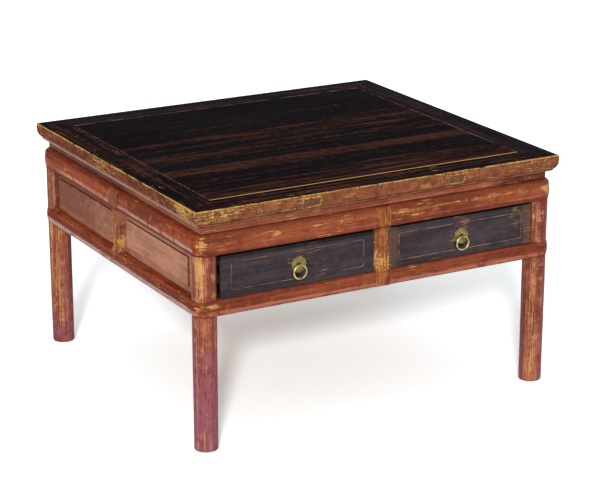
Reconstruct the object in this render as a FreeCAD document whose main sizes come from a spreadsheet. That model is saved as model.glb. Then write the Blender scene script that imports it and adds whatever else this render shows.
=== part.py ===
import FreeCAD, Part
import Sketcher
import math
import os
import re

# Kang table: a framed top on a waist, rails that wrap round four round legs, and two drawers.
# Millimetres, Z up, origin on the floor under the middle of the table. The front faces -Y.

# Driving dimensions, one cell each in the sheet
sizes = {
    # the whole table; the leg axes stand in from the edge of the top
    "tableLength": 760,
    "tableDepth": 700,
    "tableHeight": 450,
    "legInset": 29.5,
    # the top: four mitred members with a moulded edge
    "topThickness": 31,
    "frameWidth": 56.5,
    "edgeRound": 2,
    "edgeFlat": 13,
    "edgeCurveIn": 7,
    "edgeCurveRadius": 21,
    "edgeBeadHeight": 3.5,
    "edgeBeadStep": 1,
    "mitreTenonThick": 7,
    "mitreTenonDrop": 12,
    "mitreTenonWidth": 22,
    "mitreTenonSetback": 7,
    "mitreTenonReach": 44,
    # the boards that float in the frame, tongued into its groove
    "boardThickness": 9,
    "boardTongueThick": 4,
    "boardTongueDepth": 5.5,
    "boardGap": 0.6,
    # the two battens under the boards, keyed in by a dovetail
    "battenPlace": 151,
    "battenWidth": 32,
    "battenDepth": 15,
    "battenTenonHeight": 12,
    "dovetailNeck": 16,
    "dovetailRise": 4,
    "dovetailFlare": 1.5,
    # the waist under the top
    "waistHeight": 17,
    "waistInset": 18,
    "waistThickness": 10.5,
    "waistTongueThick": 4,
    "waistTongueHeight": 4,
    # the round legs, cut back to a square neck where the rails wrap round them
    "legRadius": 22.3,
    "footChamfer": 2,
    "neckCut": 9.3,
    "legTenonHeight": 9,
    # the rails
    "openingHeight": 82,
    "upperRailHeight": 38,
    "lowerRailHeight": 29,
    "railProud": 2.2,
    "railThickness": 26,
    "railCrown": 1,
    "railShoulder": 7,
    "railArris": 4,
    "railTenonLength": 8,
    "railTenonThick": 8,
    "railTenonInset": 6,
    "railTenonSetback": 3,
    # the strut in the middle of each side, with heads that lap over the rails
    "strutWidth": 30,
    "strutRecess": 1.5,
    "strutCrown": 3.5,
    "headDepth": 10.3,
    "headProud": 1.8,
    "headFlare": 5,
    "headCove": 8,
    "mitreDrop": 16,
    "strutTenonWidth": 16,
    "strutTenonThick": 6,
    "strutTenonSetback": 7,
    "strutTenonLength": 12,
    # the recessed panels with a raised field
    "panelBack": 4,
    "panelThickness": 4,
    "panelTongue": 5,
    "panelMargin": 14,
    "marginRise": 2,
    "fieldRise": 3.5,
    "fieldDraft": 0.8,
    # the drawers
    "frontRecess": 7,
    "frontThickness": 16,
    "frontGapSide": 1.5,
    "frontGapTop": 4.5,
    "frontArris": 1.2,
    "lineInset": 12.5,
    "lineInsetSide": 20,
    "lineWidth": 1.6,
    "lineDepth": 0.7,
    "lineRound": 5,
    "wallHeight": 68,
    "wallThickness": 10,
    "boxEndGap": 4,
    "backWall": 9,
    "backSetIn": 6,
    "backDrop": 6,
    "backHousing": 4,
    "bottomThickness": 6,
    "bottomLift": 5,
    "bottomHousing": 4,
    "tailLength": 10,
    "tailNeck": 13,
    "tailFlare": 3,
    # the runners and guides that carry the drawers
    "runnerDepth": 18,
    "runnerWidth": 34,
    "middleRunnerWidth": 62,
    "runnerTenonThick": 7,
    "runnerTenonLength": 6,
    "runnerGap": 0.3,
    "guideHeight": 16,
    "guideGap": 0.5,
    # the brass plate, split-pin staple and ring of each drawer
    "plateRadius": 15,
    "plateEdge": 0.8,
    "plateRim": 1.2,
    "plateThickness": 1.6,
    "strapThickness": 1.5,
    "strapWidth": 3.4,
    "stapleNeck": 2.5,
    "stapleSplit": 0.15,
    "stapleBend": 1.8,
    "stapleClinch": 6,
    "stapleHoleGap": 0.2,
    "boreSlack": 0.6,
    "eyeGap": 0.35,
    "eyeStandOff": 5.6,
    "ringRadius": 12.6,
    "ringWire": 1.9,
    # the clearance in a joint, and how far a cut runs past what it cuts
    "jointGap": 0.15,
    "overrun": 5,
}

# Sizes and places that follow from the driving ones, as formulas
worked = {
    # heights above the floor
    "topUnder": "tableHeight - topThickness",
    "railTop": "topUnder - waistHeight",
    "openingTop": "railTop - upperRailHeight",
    "openingBottom": "openingTop - openingHeight",
    "apronBottom": "openingBottom - lowerRailHeight",
    # leg axes in plan, and distances outward from the line of the leg axes
    "legX": "tableLength / 2 - legInset",
    "legY": "tableDepth / 2 - legInset",
    "railOut": "legRadius + railProud",
    "railIn": "railOut - railThickness",
    "neckHalf": "legRadius - neckCut",
    "tenonNear": "railIn + railTenonSetback",
    "tenonFar": "tenonNear + railTenonThick",
    "strutTenonNear": "railIn + strutTenonSetback",
    "strutTenonFar": "strutTenonNear + strutTenonThick",
    "waistOut": "legInset - waistInset",
    "waistIn": "waistOut - waistThickness",
    "waistTongueNear": "waistIn + (waistThickness - waistTongueThick) / 2",
    "waistTongueFar": "waistTongueNear + waistTongueThick",
    "headOut": "railOut + headProud",
    "headSeat": "railOut - headDepth",
    "strutOut": "railOut - strutRecess",
    "headStep": "headOut - railCrown - strutOut - jointGap",
    "headCoveRadius": "(headStep ^ 2 + headCove ^ 2) / (2 * headStep)",
    "panelFront": "panelBack + panelThickness",
    "frameInner": "legInset - frameWidth",
    # the opening in the frame of the top, and heights inside the top
    "openX": "tableLength / 2 - frameWidth",
    "openY": "tableDepth / 2 - frameWidth",
    "boardUnder": "tableHeight - boardThickness",
    "tongueTop": "boardUnder + boardTongueThick",
    "beadTop": "topUnder + edgeBeadHeight",
    "edgeFoot": "tableHeight - edgeFlat",
    "mitreTenonUnder": "tableHeight - mitreTenonDrop - mitreTenonThick",
    "mitreTenonNear": "frameInner + mitreTenonSetback",
    "mitreTenonFar": "mitreTenonNear + mitreTenonWidth",
    # the bays between leg and strut, and the drawers in them
    "bayInner": "strutWidth / 2",
    "bayOuter": "legX - legRadius",
    "bayMiddle": "(bayInner + bayOuter) / 2",
    "frontHalf": "(bayOuter - bayInner) / 2 - frontGapSide",
    "frontHeight": "openingHeight - frontGapTop - runnerGap",
    "frontFace": "legY + railOut - frontRecess",
    "frontBack": "frontFace - frontThickness",
    "drawerFoot": "openingBottom + runnerGap",
    "wallInner": "frontHalf - wallThickness",
    "boxEnd": "legY + railIn - boxEndGap",
    "backFace": "boxEnd - backSetIn",
    "bottomTop": "bottomLift + bottomThickness",
    # the runners and guides
    "runnerUnder": "openingBottom - runnerDepth",
    "runnerReach": "legY + railIn",
    "sideRunner": "legX - neckHalf - jointGap - runnerWidth / 2",
    "guideOuter": "sideRunner + runnerWidth / 2",
    "guideInner": "bayOuter - frontGapSide + guideGap",
    "guideMiddle": "bayInner + frontGapSide - guideGap",
    # the pull: its middle lies at the middle of the drawer front
    "pullHeight": "drawerFoot + frontHeight / 2",
    "strapHalf": "strapThickness / 2",
    "eyeRadius": "ringWire + eyeGap + strapHalf",
    "eyePlace": "frontFace + eyeStandOff",
    "stapleLeg": "strapHalf + stapleSplit / 2",
    "strapCorner": "sqrt((strapWidth / 2) ^ 2 + (stapleLeg + strapHalf) ^ 2)",
    "stapleHole": "strapCorner + stapleHoleGap",
    "neckBack": "sqrt((eyeRadius + stapleNeck) ^ 2 - (stapleLeg + stapleNeck) ^ 2)",
    "clinchPlace": "frontBack - strapHalf",
}

boardNames = ["front", "middle", "back"]
ringSides = 12
tailPlaceShares = [1 / 4, 3 / 4]

word = re.compile(r"[A-Za-z]\w*")
doc = FreeCAD.newDocument("kang_table")
sheet = doc.addObject("Spreadsheet::Sheet", "sizes")
for row, (alias, value) in enumerate(sizes.items(), start=1):
    sheet.set(f"A{row}", alias)
    sheet.set(f"B{row}", str(value))
    sheet.setAlias(f"B{row}", alias)
doc.recompute()


# Formulas

def formula(text):
    # the formula with its worked-out names written out and its sizes read from the sheet
    def swap(found):
        name = found.group(0)
        if name in worked:
            return "(" + formula(worked[name]) + ")"
        return "sizes." + name if name in sizes else name
    return word.sub(swap, text)


def number(text):
    return float(sheet.evalExpression(formula(text)))


# Sketches and features

def newPiece(name, x="0", y="0", z="0", turn=0):
    body = doc.addObject("PartDesign::Body", name)
    body.Label = name
    body.Placement = FreeCAD.Placement(FreeCAD.Vector(), FreeCAD.Rotation(FreeCAD.Vector(0, 0, 1), turn))
    for axis, text in (("x", x), ("y", y), ("z", z)):
        body.setExpression(f"Placement.Base.{axis}", formula(text))
    return body


def newSketch(body, name, plane, lift="0"):
    # plane is XY (normal up), XZ (normal toward -Y, outward) or YZ (normal toward +X)
    role = plane + "_Plane"
    support = [item for item in body.Origin.OriginFeatures if item.Role == role][0]
    sketch = body.newObject("Sketcher::SketchObject", f"{body.Name}_{name}_sketch")
    sketch.AttachmentSupport = (support, [""])
    sketch.MapMode = "FlatFace"
    sketch.setExpression("AttachmentOffset.Base.z", formula(lift))
    return sketch


def arcBetween(start, stop, radius, turn):
    # the short arc from start to stop that bends left (turn 1) or right (turn -1)
    chord = stop - start
    rise = math.sqrt(max(radius ** 2 - (chord.Length / 2) ** 2, 0))
    aside = FreeCAD.Vector(-chord.y, chord.x, 0) / chord.Length
    centre = (start + stop) / 2 + aside * rise * turn
    first, last = (start, stop) if turn > 0 else (stop, start)
    angles = [math.atan2(end.y - centre.y, end.x - centre.x) for end in (first, last)]
    if angles[1] < angles[0]:
        angles[1] += 2 * math.pi
    return Part.ArcOfCircle(Part.Circle(centre, FreeCAD.Vector(0, 0, 1), radius), *angles)


def draw(sketch, corners, closed=True):
    # An outline through corners given as formulas: (across, up) starts a straight edge,
    # (across, up, radius, turn) an arc that bends left (turn 1) or right (turn -1).
    places = [FreeCAD.Vector(number(corner[0]), number(corner[1]), 0) for corner in corners]
    edgeCount = len(corners) if closed else len(corners) - 1
    first = sketch.GeometryCount
    shapes = []
    ends = []
    for k in range(edgeCount):
        start, stop = places[k], places[(k + 1) % len(corners)]
        if len(corners[k]) == 2:
            shapes.append(Part.LineSegment(start, stop))
            ends.append((1, 2))
        else:
            turn = corners[k][3]
            shapes.append(arcBetween(start, stop, number(corners[k][2]), turn))
            ends.append((1, 2) if turn > 0 else (2, 1))
    sketch.addGeometry(shapes)
    rules = []
    bound = []
    for k in range(edgeCount):
        if closed or k > 0:
            before = (k - 1) % edgeCount
            meeting = (first + before, ends[before][1], first + k, ends[k][0])
            rules.append(Sketcher.Constraint("Coincident", *meeting))
        pinCorner(rules, bound, (first + k, ends[k][0]), corners[k], places[k])
        if len(corners[k]) > 2:
            bound.append((len(rules), corners[k][2]))
            rules.append(Sketcher.Constraint("Radius", first + k, number(corners[k][2])))
    if not closed:
        pinCorner(rules, bound, (first + edgeCount - 1, ends[-1][1]), corners[-1], places[-1])
    bind(sketch, rules, bound)


def pinCorner(rules, bound, end, corner, place):
    # the two sizes that hold one end of an edge in its place
    for axis, text, value in (("DistanceX", corner[0], place.x), ("DistanceY", corner[1], place.y)):
        bound.append((len(rules), text))
        rules.append(Sketcher.Constraint(axis, *end, value))


def bind(sketch, rules, bound):
    start = sketch.ConstraintCount
    sketch.addConstraint(rules)
    for index, text in bound:
        sketch.setExpression(f"Constraints[{start + index}]", formula(text))


def drawCircle(sketch, across, up, radius):
    centre = FreeCAD.Vector(number(across), number(up), 0)
    place = sketch.addGeometry(Part.Circle(centre, FreeCAD.Vector(0, 0, 1), number(radius)))
    rules = [
        Sketcher.Constraint("DistanceX", place, 3, centre.x),
        Sketcher.Constraint("DistanceY", place, 3, centre.y),
        Sketcher.Constraint("Radius", place, number(radius)),
    ]
    bind(sketch, rules, [(0, across), (1, up), (2, radius)])


def box(left, right, low, high):
    return [(left, low), (right, low), (right, high), (left, high)]


def pad(body, name, plane, lift, length, *outlines):
    # material from the outlines, along the plane's normal
    sketch = newSketch(body, name, plane, lift)
    for corners in outlines:
        draw(sketch, corners)
    feature = body.newObject("PartDesign::Pad", f"{body.Name}_{name}")
    feature.Profile = sketch
    feature.setExpression("Length", formula(length))
    return feature


def pocket(body, name, plane, lift, length, *outlines):
    # a cut from the outlines, along the plane's normal
    sketch = newSketch(body, name, plane, lift)
    for corners in outlines:
        draw(sketch, corners)
    return cutAlong(body, name, sketch, length)


def cutAlong(body, name, sketch, length):
    feature = body.newObject("PartDesign::Pocket", f"{body.Name}_{name}")
    feature.Profile = sketch
    feature.Reversed = True
    feature.setExpression("Length", formula(length))
    return feature


def revolve(body, name, plane, lift, axis, angle, corners):
    sketch = newSketch(body, name, plane, lift)
    draw(sketch, corners)
    feature = body.newObject("PartDesign::Revolution", f"{body.Name}_{name}")
    feature.Profile = sketch
    feature.ReferenceAxis = (sketch, [axis])
    feature.Angle = angle
    return feature


def mirrorAcross(body, features):
    # the same features on the other side of the middle of the piece
    plane = [item for item in body.Origin.OriginFeatures if item.Role == "YZ_Plane"][0]
    mirror = body.newObject("PartDesign::Mirrored", f"{body.Name}_mirror")
    mirror.Originals = features
    mirror.MirrorPlane = (plane, [""])
    body.Tip = mirror


# The four sides: pieces of a side are drawn with X along it, outward as -Y and the leg axes at Y 0

sides = {
    "front": {"turn": 0, "x": "0", "y": "-legY", "span": "legX", "style": "drawers"},
    "right": {"turn": 90, "x": "legX", "y": "0", "span": "legY", "style": "panels"},
    "back": {"turn": 180, "x": "0", "y": "legY", "span": "legX", "style": "panels"},
    "left": {"turn": 270, "x": "-legX", "y": "0", "span": "legY", "style": "panels"},
}


def sidePiece(name, side):
    return newPiece(name, sides[side]["x"], sides[side]["y"], "0", sides[side]["turn"])


def crownRadius(chord):
    # of the shallow arc that rises by the rail's crown over that chord
    return f"(({chord}) ^ 2 / 4 + railCrown ^ 2) / (2 * railCrown)"


def edgeLine():
    # the moulded edge of the top, from its upper face down to its underside
    return [
        ("-(legInset - edgeRound)", "tableHeight", "edgeRound", 1),
        ("-legInset", "tableHeight - edgeRound"),
        ("-legInset", "edgeFoot", "edgeCurveRadius", 1),
        ("-(legInset - edgeCurveIn)", "beadTop"),
        ("-(legInset - edgeCurveIn - edgeBeadStep)", "beadTop"),
        ("-(legInset - edgeCurveIn - edgeBeadStep)", "topUnder"),
    ]


def topFrame(side):
    span = sides[side]["span"]
    half = f"({span} + legInset)"
    body = sidePiece("top_frame_" + side, side)
    section = edgeLine() + [("-frameInner", "topUnder"), ("-frameInner", "tableHeight")]
    pad(body, "member", "YZ", f"-{half}", f"2 * {half}", section)
    mitres = []
    for end in (1, -1):
        mitres.append([
            (f"{end} * ({half} - frameWidth - overrun)", "overrun - frameInner"),
            (f"{end} * ({half} + overrun)", "-legInset - overrun"),
            (f"{end} * ({half} + overrun)", "overrun - frameInner"),
        ])
    pocket(body, "mitres", "XY", "topUnder - overrun", "topThickness + 2 * overrun", *mitres)
    grooveFar = "-frameInner - boardTongueDepth - jointGap"
    groove = box(f"-{half}", half, grooveFar, "overrun - frameInner")
    pocket(body, "board_groove", "XY", "boardUnder - jointGap", "boardTongueThick + 2 * jointGap", groove)
    reach = f"{span} + waistTongueFar + jointGap"
    tongue = box(f"-({reach})", reach, "-waistTongueFar - jointGap", "jointGap - waistTongueNear")
    depth = "waistTongueHeight + jointGap"
    pocket(body, "waist_groove", "XY", "topUnder - overrun", f"overrun + {depth}", tongue)
    mortises = []
    for end in (1, -1):
        mortises.append(box(f"{end} * {span} - {end} * (neckHalf + jointGap)", f"{end} * ({span} + waistIn)",
                            "-waistIn", "neckHalf + jointGap"))
    depth = "legTenonHeight + jointGap"
    pocket(body, "leg_mortises", "XY", "topUnder - overrun", f"overrun + {depth}", *mortises)
    if span == "legX":
        battenMortises(body)
        tenons = []
        for end in (1, -1):
            root = f"{half} - frameWidth"
            tenons.append(box(f"{end} * ({root})", f"{end} * ({root} + mitreTenonReach)",
                              "-mitreTenonFar", "-mitreTenonNear"))
        pad(body, "mitre_tenons", "XY", "mitreTenonUnder", "mitreTenonThick", *tenons)
    else:
        frameTenonMortises(body, half)


def battenMortises(body):
    holes = []
    for end in (1, -1):
        holes.append(box(f"{end} * battenPlace - battenWidth / 2 - jointGap",
                         f"{end} * battenPlace + battenWidth / 2 + jointGap",
                         "-legInset - overrun", "overrun - frameInner"))
    pocket(body, "batten_mortises", "XY", "boardUnder - battenTenonHeight - jointGap",
           "battenTenonHeight + jointGap", *holes)


def frameTenonMortises(body, half):
    # where the long members' tenons come in: the tenon's width runs along this member
    holes = []
    for end in (1, -1):
        holes.append(box(f"{end} * ({half} - legInset + mitreTenonFar + jointGap)",
                         f"{end} * ({half} - legInset + mitreTenonNear - jointGap)",
                         "-frameInner - mitreTenonReach - jointGap", "overrun - frameInner"))
    height = "mitreTenonThick + 2 * jointGap"
    pocket(body, "tenon_mortises", "XY", "mitreTenonUnder - jointGap", height, *holes)


def topBoard(index):
    body = newPiece("top_board_" + boardNames[index])
    count = len(boardNames)
    low = f"-openY + 2 * openY * {index} / {count}"
    high = f"-openY + 2 * openY * {index + 1} / {count}"
    isFirst, isLast = index == 0, index == count - 1
    tongueLow = "-openY - boardTongueDepth" if isFirst else f"{low} + jointGap / 2"
    tongueHigh = "openY + boardTongueDepth" if isLast else f"{high} - jointGap / 2"
    faceLow = "-openY + boardGap" if isFirst else f"{low} + jointGap / 2"
    faceHigh = "openY - boardGap" if isLast else f"{high} - jointGap / 2"
    wide = "openX + boardTongueDepth"
    tongue = box(f"-({wide})", wide, tongueLow, tongueHigh)
    pad(body, "tongue", "XY", "boardUnder", "boardTongueThick", tongue)
    face = box("-(openX - boardGap)", "openX - boardGap", faceLow, faceHigh)
    pad(body, "face", "XY", "tongueTop", "boardThickness - boardTongueThick", face)
    slots = []
    for end in (1, -1):
        middle = f"{end} * battenPlace"
        neck, wide = "(dovetailNeck / 2 + jointGap)", "(dovetailNeck / 2 + dovetailFlare + jointGap)"
        slots.append([
            (f"{middle} - {neck}", "boardUnder - overrun"),
            (f"{middle} + {neck}", "boardUnder - overrun"),
            (f"{middle} + {neck}", "boardUnder"),
            (f"{middle} + {wide}", "boardUnder + dovetailRise + jointGap"),
            (f"{middle} - {wide}", "boardUnder + dovetailRise + jointGap"),
            (f"{middle} - {neck}", "boardUnder"),
        ])
    pocket(body, "slots", "XZ", "-tableDepth / 2", "tableDepth", *slots)


def batten(name, end):
    # a stick with a dovetail key on top and tenons that end flush in the moulded edge
    body = newPiece("batten_" + name, f"{end} * battenPlace")
    tenonUnder = "boardUnder - battenTenonHeight"
    side = [
        ("-tableDepth / 2", tenonUnder),
        ("-openY", tenonUnder),
        ("-openY", "boardUnder - battenDepth"),
        ("openY", "boardUnder - battenDepth"),
        ("openY", tenonUnder),
        ("tableDepth / 2", tenonUnder),
        ("tableDepth / 2", "boardUnder"),
        ("-tableDepth / 2", "boardUnder"),
    ]
    pad(body, "stick", "YZ", "-battenWidth / 2", "battenWidth", side)
    key = [
        ("-dovetailNeck / 2", "boardUnder"),
        ("dovetailNeck / 2", "boardUnder"),
        ("dovetailNeck / 2 + dovetailFlare", "boardUnder + dovetailRise"),
        ("-dovetailNeck / 2 - dovetailFlare", "boardUnder + dovetailRise"),
    ]
    pad(body, "key", "XZ", "-openY + boardGap", "2 * (openY - boardGap)", key)
    trims = []
    for way in (1, -1):
        trims.append([
            (f"{way} * (tableDepth / 2 + overrun)", "beadTop"),
            (f"{way} * (tableDepth / 2 + overrun)", "edgeFoot"),
            (f"{way} * tableDepth / 2", "edgeFoot", "edgeCurveRadius", -way),
            (f"{way} * (tableDepth / 2 - edgeCurveIn)", "beadTop"),
        ])
    pocket(body, "edge_trim", "YZ", "-battenWidth / 2 - overrun", "battenWidth + 2 * overrun", *trims)


def waistBoard(side):
    span = sides[side]["span"]
    body = sidePiece("waist_" + side, side)
    for name, low, high, near, far in (("board", "railTop", "waistHeight", "waistIn", "waistOut"),
                                       ("tongue", "topUnder", "waistTongueHeight", "waistTongueNear",
                                        "waistTongueFar")):
        mitred = [
            (f"-{span} - {far}", f"-{far}"),
            (f"{span} + {far}", f"-{far}"),
            (f"{span} + {near}", f"-{near}"),
            (f"-{span} - {near}", f"-{near}"),
        ]
        pad(body, name, "XY", low, high, mitred)


def leg(name, x, y, turn, grooves):
    # drawn at the front left corner: outward is -X and -Y, the rails run off along +X and +Y
    body = newPiece("leg_" + name, x, y, "0", turn)
    shaft = [
        ("0", "0"),
        ("legRadius - footChamfer", "0"),
        ("legRadius", "footChamfer"),
        ("legRadius", "apronBottom"),
        ("0", "apronBottom"),
    ]
    revolve(body, "shaft", "XZ", "0", "V_Axis", 360, shaft)
    square = box("-neckHalf", "neckHalf", "-neckHalf", "neckHalf")
    pad(body, "neck", "XY", "apronBottom", "railTop - apronBottom", square)
    drum = box("0", "legRadius", "openingBottom", "openingTop")
    revolve(body, "drum", "XZ", "0", "V_Axis", 360, drum)
    tenon = box("jointGap - waistIn", "neckHalf", "jointGap - waistIn", "neckHalf")
    pad(body, "tenon", "XY", "railTop", "waistHeight + legTenonHeight", tenon)
    deep, wide = ("neckHalf - railTenonLength - jointGap", "neckHalf + overrun")
    near, far = ("jointGap - tenonNear", "-tenonFar - jointGap")
    for level, low, height in (("lower", "apronBottom", "lowerRailHeight"),
                               ("upper", "openingTop", "upperRailHeight")):
        pocket(body, level + "_mortises", "XY", f"{low} + railTenonInset - jointGap",
               f"{height} - 2 * railTenonInset + 2 * jointGap",
               box(deep, wide, far, near), box(far, near, deep, wide))
    seat = "legRadius - panelTongue - jointGap"
    inner, outer = ("jointGap - panelBack", "-panelFront - jointGap")
    cuts = {
        "x": box(seat, "legRadius + overrun", outer, inner),
        "y": box(outer, inner, seat, "legRadius + overrun"),
    }
    pocket(body, "panel_grooves", "XY", "openingBottom", "openingHeight", *[cuts[axis] for axis in grooves])


def crownLine(low, high, upperRound, lowerRound, out):
    # the outer face of a rail, from its top round the crown to its underside
    chord = f"({high}) - ({low}) - {upperRound} - {lowerRound}"
    return [
        (f"-({out} - railCrown - {upperRound})", high, upperRound, 1),
        (f"-({out} - railCrown)", f"{high} - {upperRound}", crownRadius(chord), 1),
        (f"-({out} - railCrown)", f"{low} + {lowerRound}", lowerRound, 1),
        (f"-({out} - railCrown - {lowerRound})", low),
    ]


def headOutline(style, level, cutting=False):
    # a strut's head seen from outside; for cutting its seat it runs past the rail's edges
    half = "strutWidth / 2"
    if level == "upper":
        flare = "headFlare" if style == "panels" else "0 * headFlare"
        low = "openingTop - overrun" if cutting else "openingTop - headCove"
        past = [(f"{half} + {flare}", "railTop + overrun"), (f"-{half} - {flare}", "railTop + overrun")]
        foot = [(f"-{half}", "openingTop"), (f"-{half}", low), (half, low), (half, "openingTop")]
        top = [(f"{half} + {flare}", "railTop"), (f"-{half} - {flare}", "railTop")]
        return foot + top[:1] + (past if cutting else []) + top[1:]
    high = "openingBottom + overrun" if cutting else "openingBottom + headCove"
    if style == "panels":
        return [
            (f"-{half}", high),
            (f"-{half}", "openingBottom"),
            ("0", "openingBottom - mitreDrop"),
            (half, "openingBottom"),
            (half, high),
        ]
    low = "apronBottom - overrun" if cutting else "apronBottom"
    return box(f"-{half}", half, low, high)


def rail(level, side):
    # a stick with a crowned face whose ends turn round the legs' necks and meet in a mitre
    span, style = sides[side]["span"], sides[side]["style"]
    body = sidePiece(f"{level}_rail_{side}", side)
    if level == "upper":
        low, high, upperRound, lowerRound = "openingTop", "railTop", "railShoulder", "railArris"
    else:
        low, high, upperRound, lowerRound = "apronBottom", "openingBottom", "railArris", "railArris"
    face = crownLine(low, high, upperRound, lowerRound, "railOut")
    stick = face + [("-railIn", low), ("-railIn", high)]
    wrap = face + [("-neckHalf - jointGap", low), ("-neckHalf - jointGap", high)]
    stickEnd = f"({span} - neckHalf - jointGap)"
    tenon = box("-tenonFar", "-tenonNear", f"{low} + railTenonInset", f"{high} - railTenonInset")
    features = [
        pad(body, "stick", "YZ", "0", stickEnd, stick),
        pad(body, "run", "YZ", stickEnd, "neckHalf + jointGap", wrap),
        revolve(body, "wrap", "YZ", span, "V_Axis", 45, wrap),
        pad(body, "tenon", "YZ", f"{stickEnd} - railTenonLength", "2 * railTenonLength + jointGap", tenon),
    ]
    mirrorAcross(body, features)
    corners = []
    for end in (1, -1):
        corners.append(box(f"{end} * {span}", f"{end} * ({span} + neckHalf + jointGap)",
                           "-neckHalf - jointGap", "0"))
    pocket(body, "neck_seats", "XY", f"{low} - overrun", f"{high} - {low} + 2 * overrun", *corners)
    seat = headOutline(style, level, cutting=True)
    pocket(body, "head_seat", "XZ", "headSeat", "headDepth + overrun", seat)
    mortise = box("-strutTenonWidth / 2 - jointGap", "strutTenonWidth / 2 + jointGap",
                  "-strutTenonFar - jointGap", "jointGap - strutTenonNear")
    if level == "upper":
        mortiseFoot = "openingTop - overrun"
        mortiseDepth = "overrun + strutTenonLength + jointGap"
    else:
        mortiseFoot = "openingBottom - strutTenonLength - jointGap"
        mortiseDepth = "strutTenonLength + overrun"
    pocket(body, "strut_mortise", "XY", mortiseFoot, mortiseDepth, mortise)
    if style == "panels":
        groove = box(f"-({span} - neckHalf)", f"{span} - neckHalf",
                     "-panelFront - jointGap", "jointGap - panelBack")
        grooveFoot = "openingTop - overrun"
        if level == "lower":
            grooveFoot = "openingBottom - panelTongue - jointGap"
        pocket(body, "panel_groove", "XY", grooveFoot, "overrun + panelTongue + jointGap", groove)
    if level == "lower" and span == "legX":
        runnerMortises(body)


def runnerMortises(body):
    holes = []
    places = (("-sideRunner", "runnerWidth"), ("0", "middleRunnerWidth"), ("sideRunner", "runnerWidth"))
    for middle, width in places:
        holes.append(box(f"{middle} - {width} / 2", f"{middle} + {width} / 2",
                         "-railIn - runnerTenonLength - jointGap", "overrun - railIn"))
    pocket(body, "runner_mortises", "XY", "runnerUnder", "runnerTenonThick + jointGap", *holes)


def strut(side):
    span, style = sides[side]["span"], sides[side]["style"]
    body = sidePiece("strut_" + side, side)
    half = "strutWidth / 2"
    crown = "((strutWidth / 2) ^ 2 + strutCrown ^ 2) / (2 * strutCrown)"
    neck = [
        (f"-{half}", "-(strutOut - strutCrown)", crown, 1),
        (half, "-(strutOut - strutCrown)"),
        (half, "-railIn"),
        (f"-{half}", "-railIn"),
    ]
    pad(body, "neck", "XY", "openingBottom", "openingHeight", neck)
    pad(body, "heads", "XZ", "headSeat", "headOut - headSeat",
        headOutline(style, "upper"), headOutline(style, "lower"))
    face = "-(headOut - railCrown)"
    waste = [
        ("-headOut - overrun", "railTop + overrun"),
        ("-headOut - overrun", "apronBottom - overrun"),
        ("-(headOut - railCrown - railArris)", "apronBottom - overrun"),
        ("-(headOut - railCrown - railArris)", "apronBottom", "railArris", -1),
        (face, "apronBottom + railArris", crownRadius("lowerRailHeight - railArris"), -1),
        (face, "openingBottom", "headCoveRadius", 1),
        ("-strutOut - jointGap", "openingBottom + headCove"),
        ("-strutOut - jointGap", "openingTop - headCove", "headCoveRadius", 1),
        (face, "openingTop", crownRadius("upperRailHeight - railShoulder"), -1),
        (face, "railTop - railShoulder", "railShoulder", -1),
        ("-(headOut - railCrown - railShoulder)", "railTop"),
        ("-(headOut - railCrown - railShoulder)", "railTop + overrun"),
    ]
    wide = "strutWidth / 2 + headFlare + overrun"
    pocket(body, "face", "YZ", f"-({wide})", f"2 * ({wide})", waste)
    tenon = box("-strutTenonWidth / 2", "strutTenonWidth / 2", "-strutTenonFar", "-strutTenonNear")
    length = "openingHeight + 2 * strutTenonLength"
    pad(body, "tenon", "XY", "openingBottom - strutTenonLength", length, tenon)
    if style == "panels":
        grooves = []
        for end in (1, -1):
            grooves.append(box(f"{end} * (strutWidth / 2 - panelTongue - jointGap)",
                               f"{end} * (strutWidth / 2 + overrun)",
                               "-panelFront - jointGap", "jointGap - panelBack"))
        pocket(body, "panel_grooves", "XY", "openingBottom", "openingHeight", *grooves)


def panel(name, side, end):
    # a thin plate in the grooves, a sloping margin and a raised field
    span = sides[side]["span"]
    body = sidePiece("panel_" + name, side)

    def rectangle(inset):
        return box(f"{end} * (bayInner + ({inset}))", f"{end} * ({span} - legRadius - ({inset}))",
                   f"openingBottom + ({inset})", f"openingTop - ({inset})")

    pad(body, "plate", "XZ", "panelBack", "panelThickness", rectangle("-panelTongue"))
    loft = body.newObject("PartDesign::AdditiveLoft", body.Name + "_field")
    rings = []
    for ring, inset, out in (("foot", "jointGap", "panelFront"),
                             ("margin", "panelMargin", "panelFront + marginRise"),
                             ("top", "panelMargin + fieldDraft", "panelFront + marginRise + fieldRise")):
        sketch = newSketch(body, ring, "XZ", out)
        draw(sketch, rectangle(inset))
        rings.append(sketch)
    loft.Profile = rings[0]
    loft.Sections = rings[1:]
    loft.Ruled = True
    body.Tip = loft


# The drawers: drawn with X 0 in the middle of the drawer and heights from the drawer's foot

def tails(past):
    # the dovetails of a drawer side, in side view, from the joint line forward
    shapes = []
    for share in tailPlaceShares:
        middle = f"wallHeight * {share}"
        shapes.append([
            (f"{past} - frontBack", f"{middle} - tailNeck / 2"),
            (f"{past} - frontBack", f"{middle} + tailNeck / 2"),
            ("-frontBack", f"{middle} + tailNeck / 2"),
            ("-frontBack - tailLength", f"{middle} + tailNeck / 2 + tailFlare"),
            ("-frontBack - tailLength", f"{middle} - tailNeck / 2 - tailFlare"),
            ("-frontBack", f"{middle} - tailNeck / 2"),
        ])
    return shapes


def roundedBox(halfWidth, low, high, radius):
    wide, inner = halfWidth, f"({halfWidth}) - ({radius})"
    return [
        (f"-({inner})", low),
        (inner, low, radius, 1),
        (wide, f"{low} + {radius}"),
        (wide, f"{high} - ({radius})", radius, 1),
        (inner, high),
        (f"-({inner})", high, radius, 1),
        (f"-({wide})", f"{high} - ({radius})"),
        (f"-({wide})", f"{low} + {radius}", radius, 1),
    ]


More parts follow.
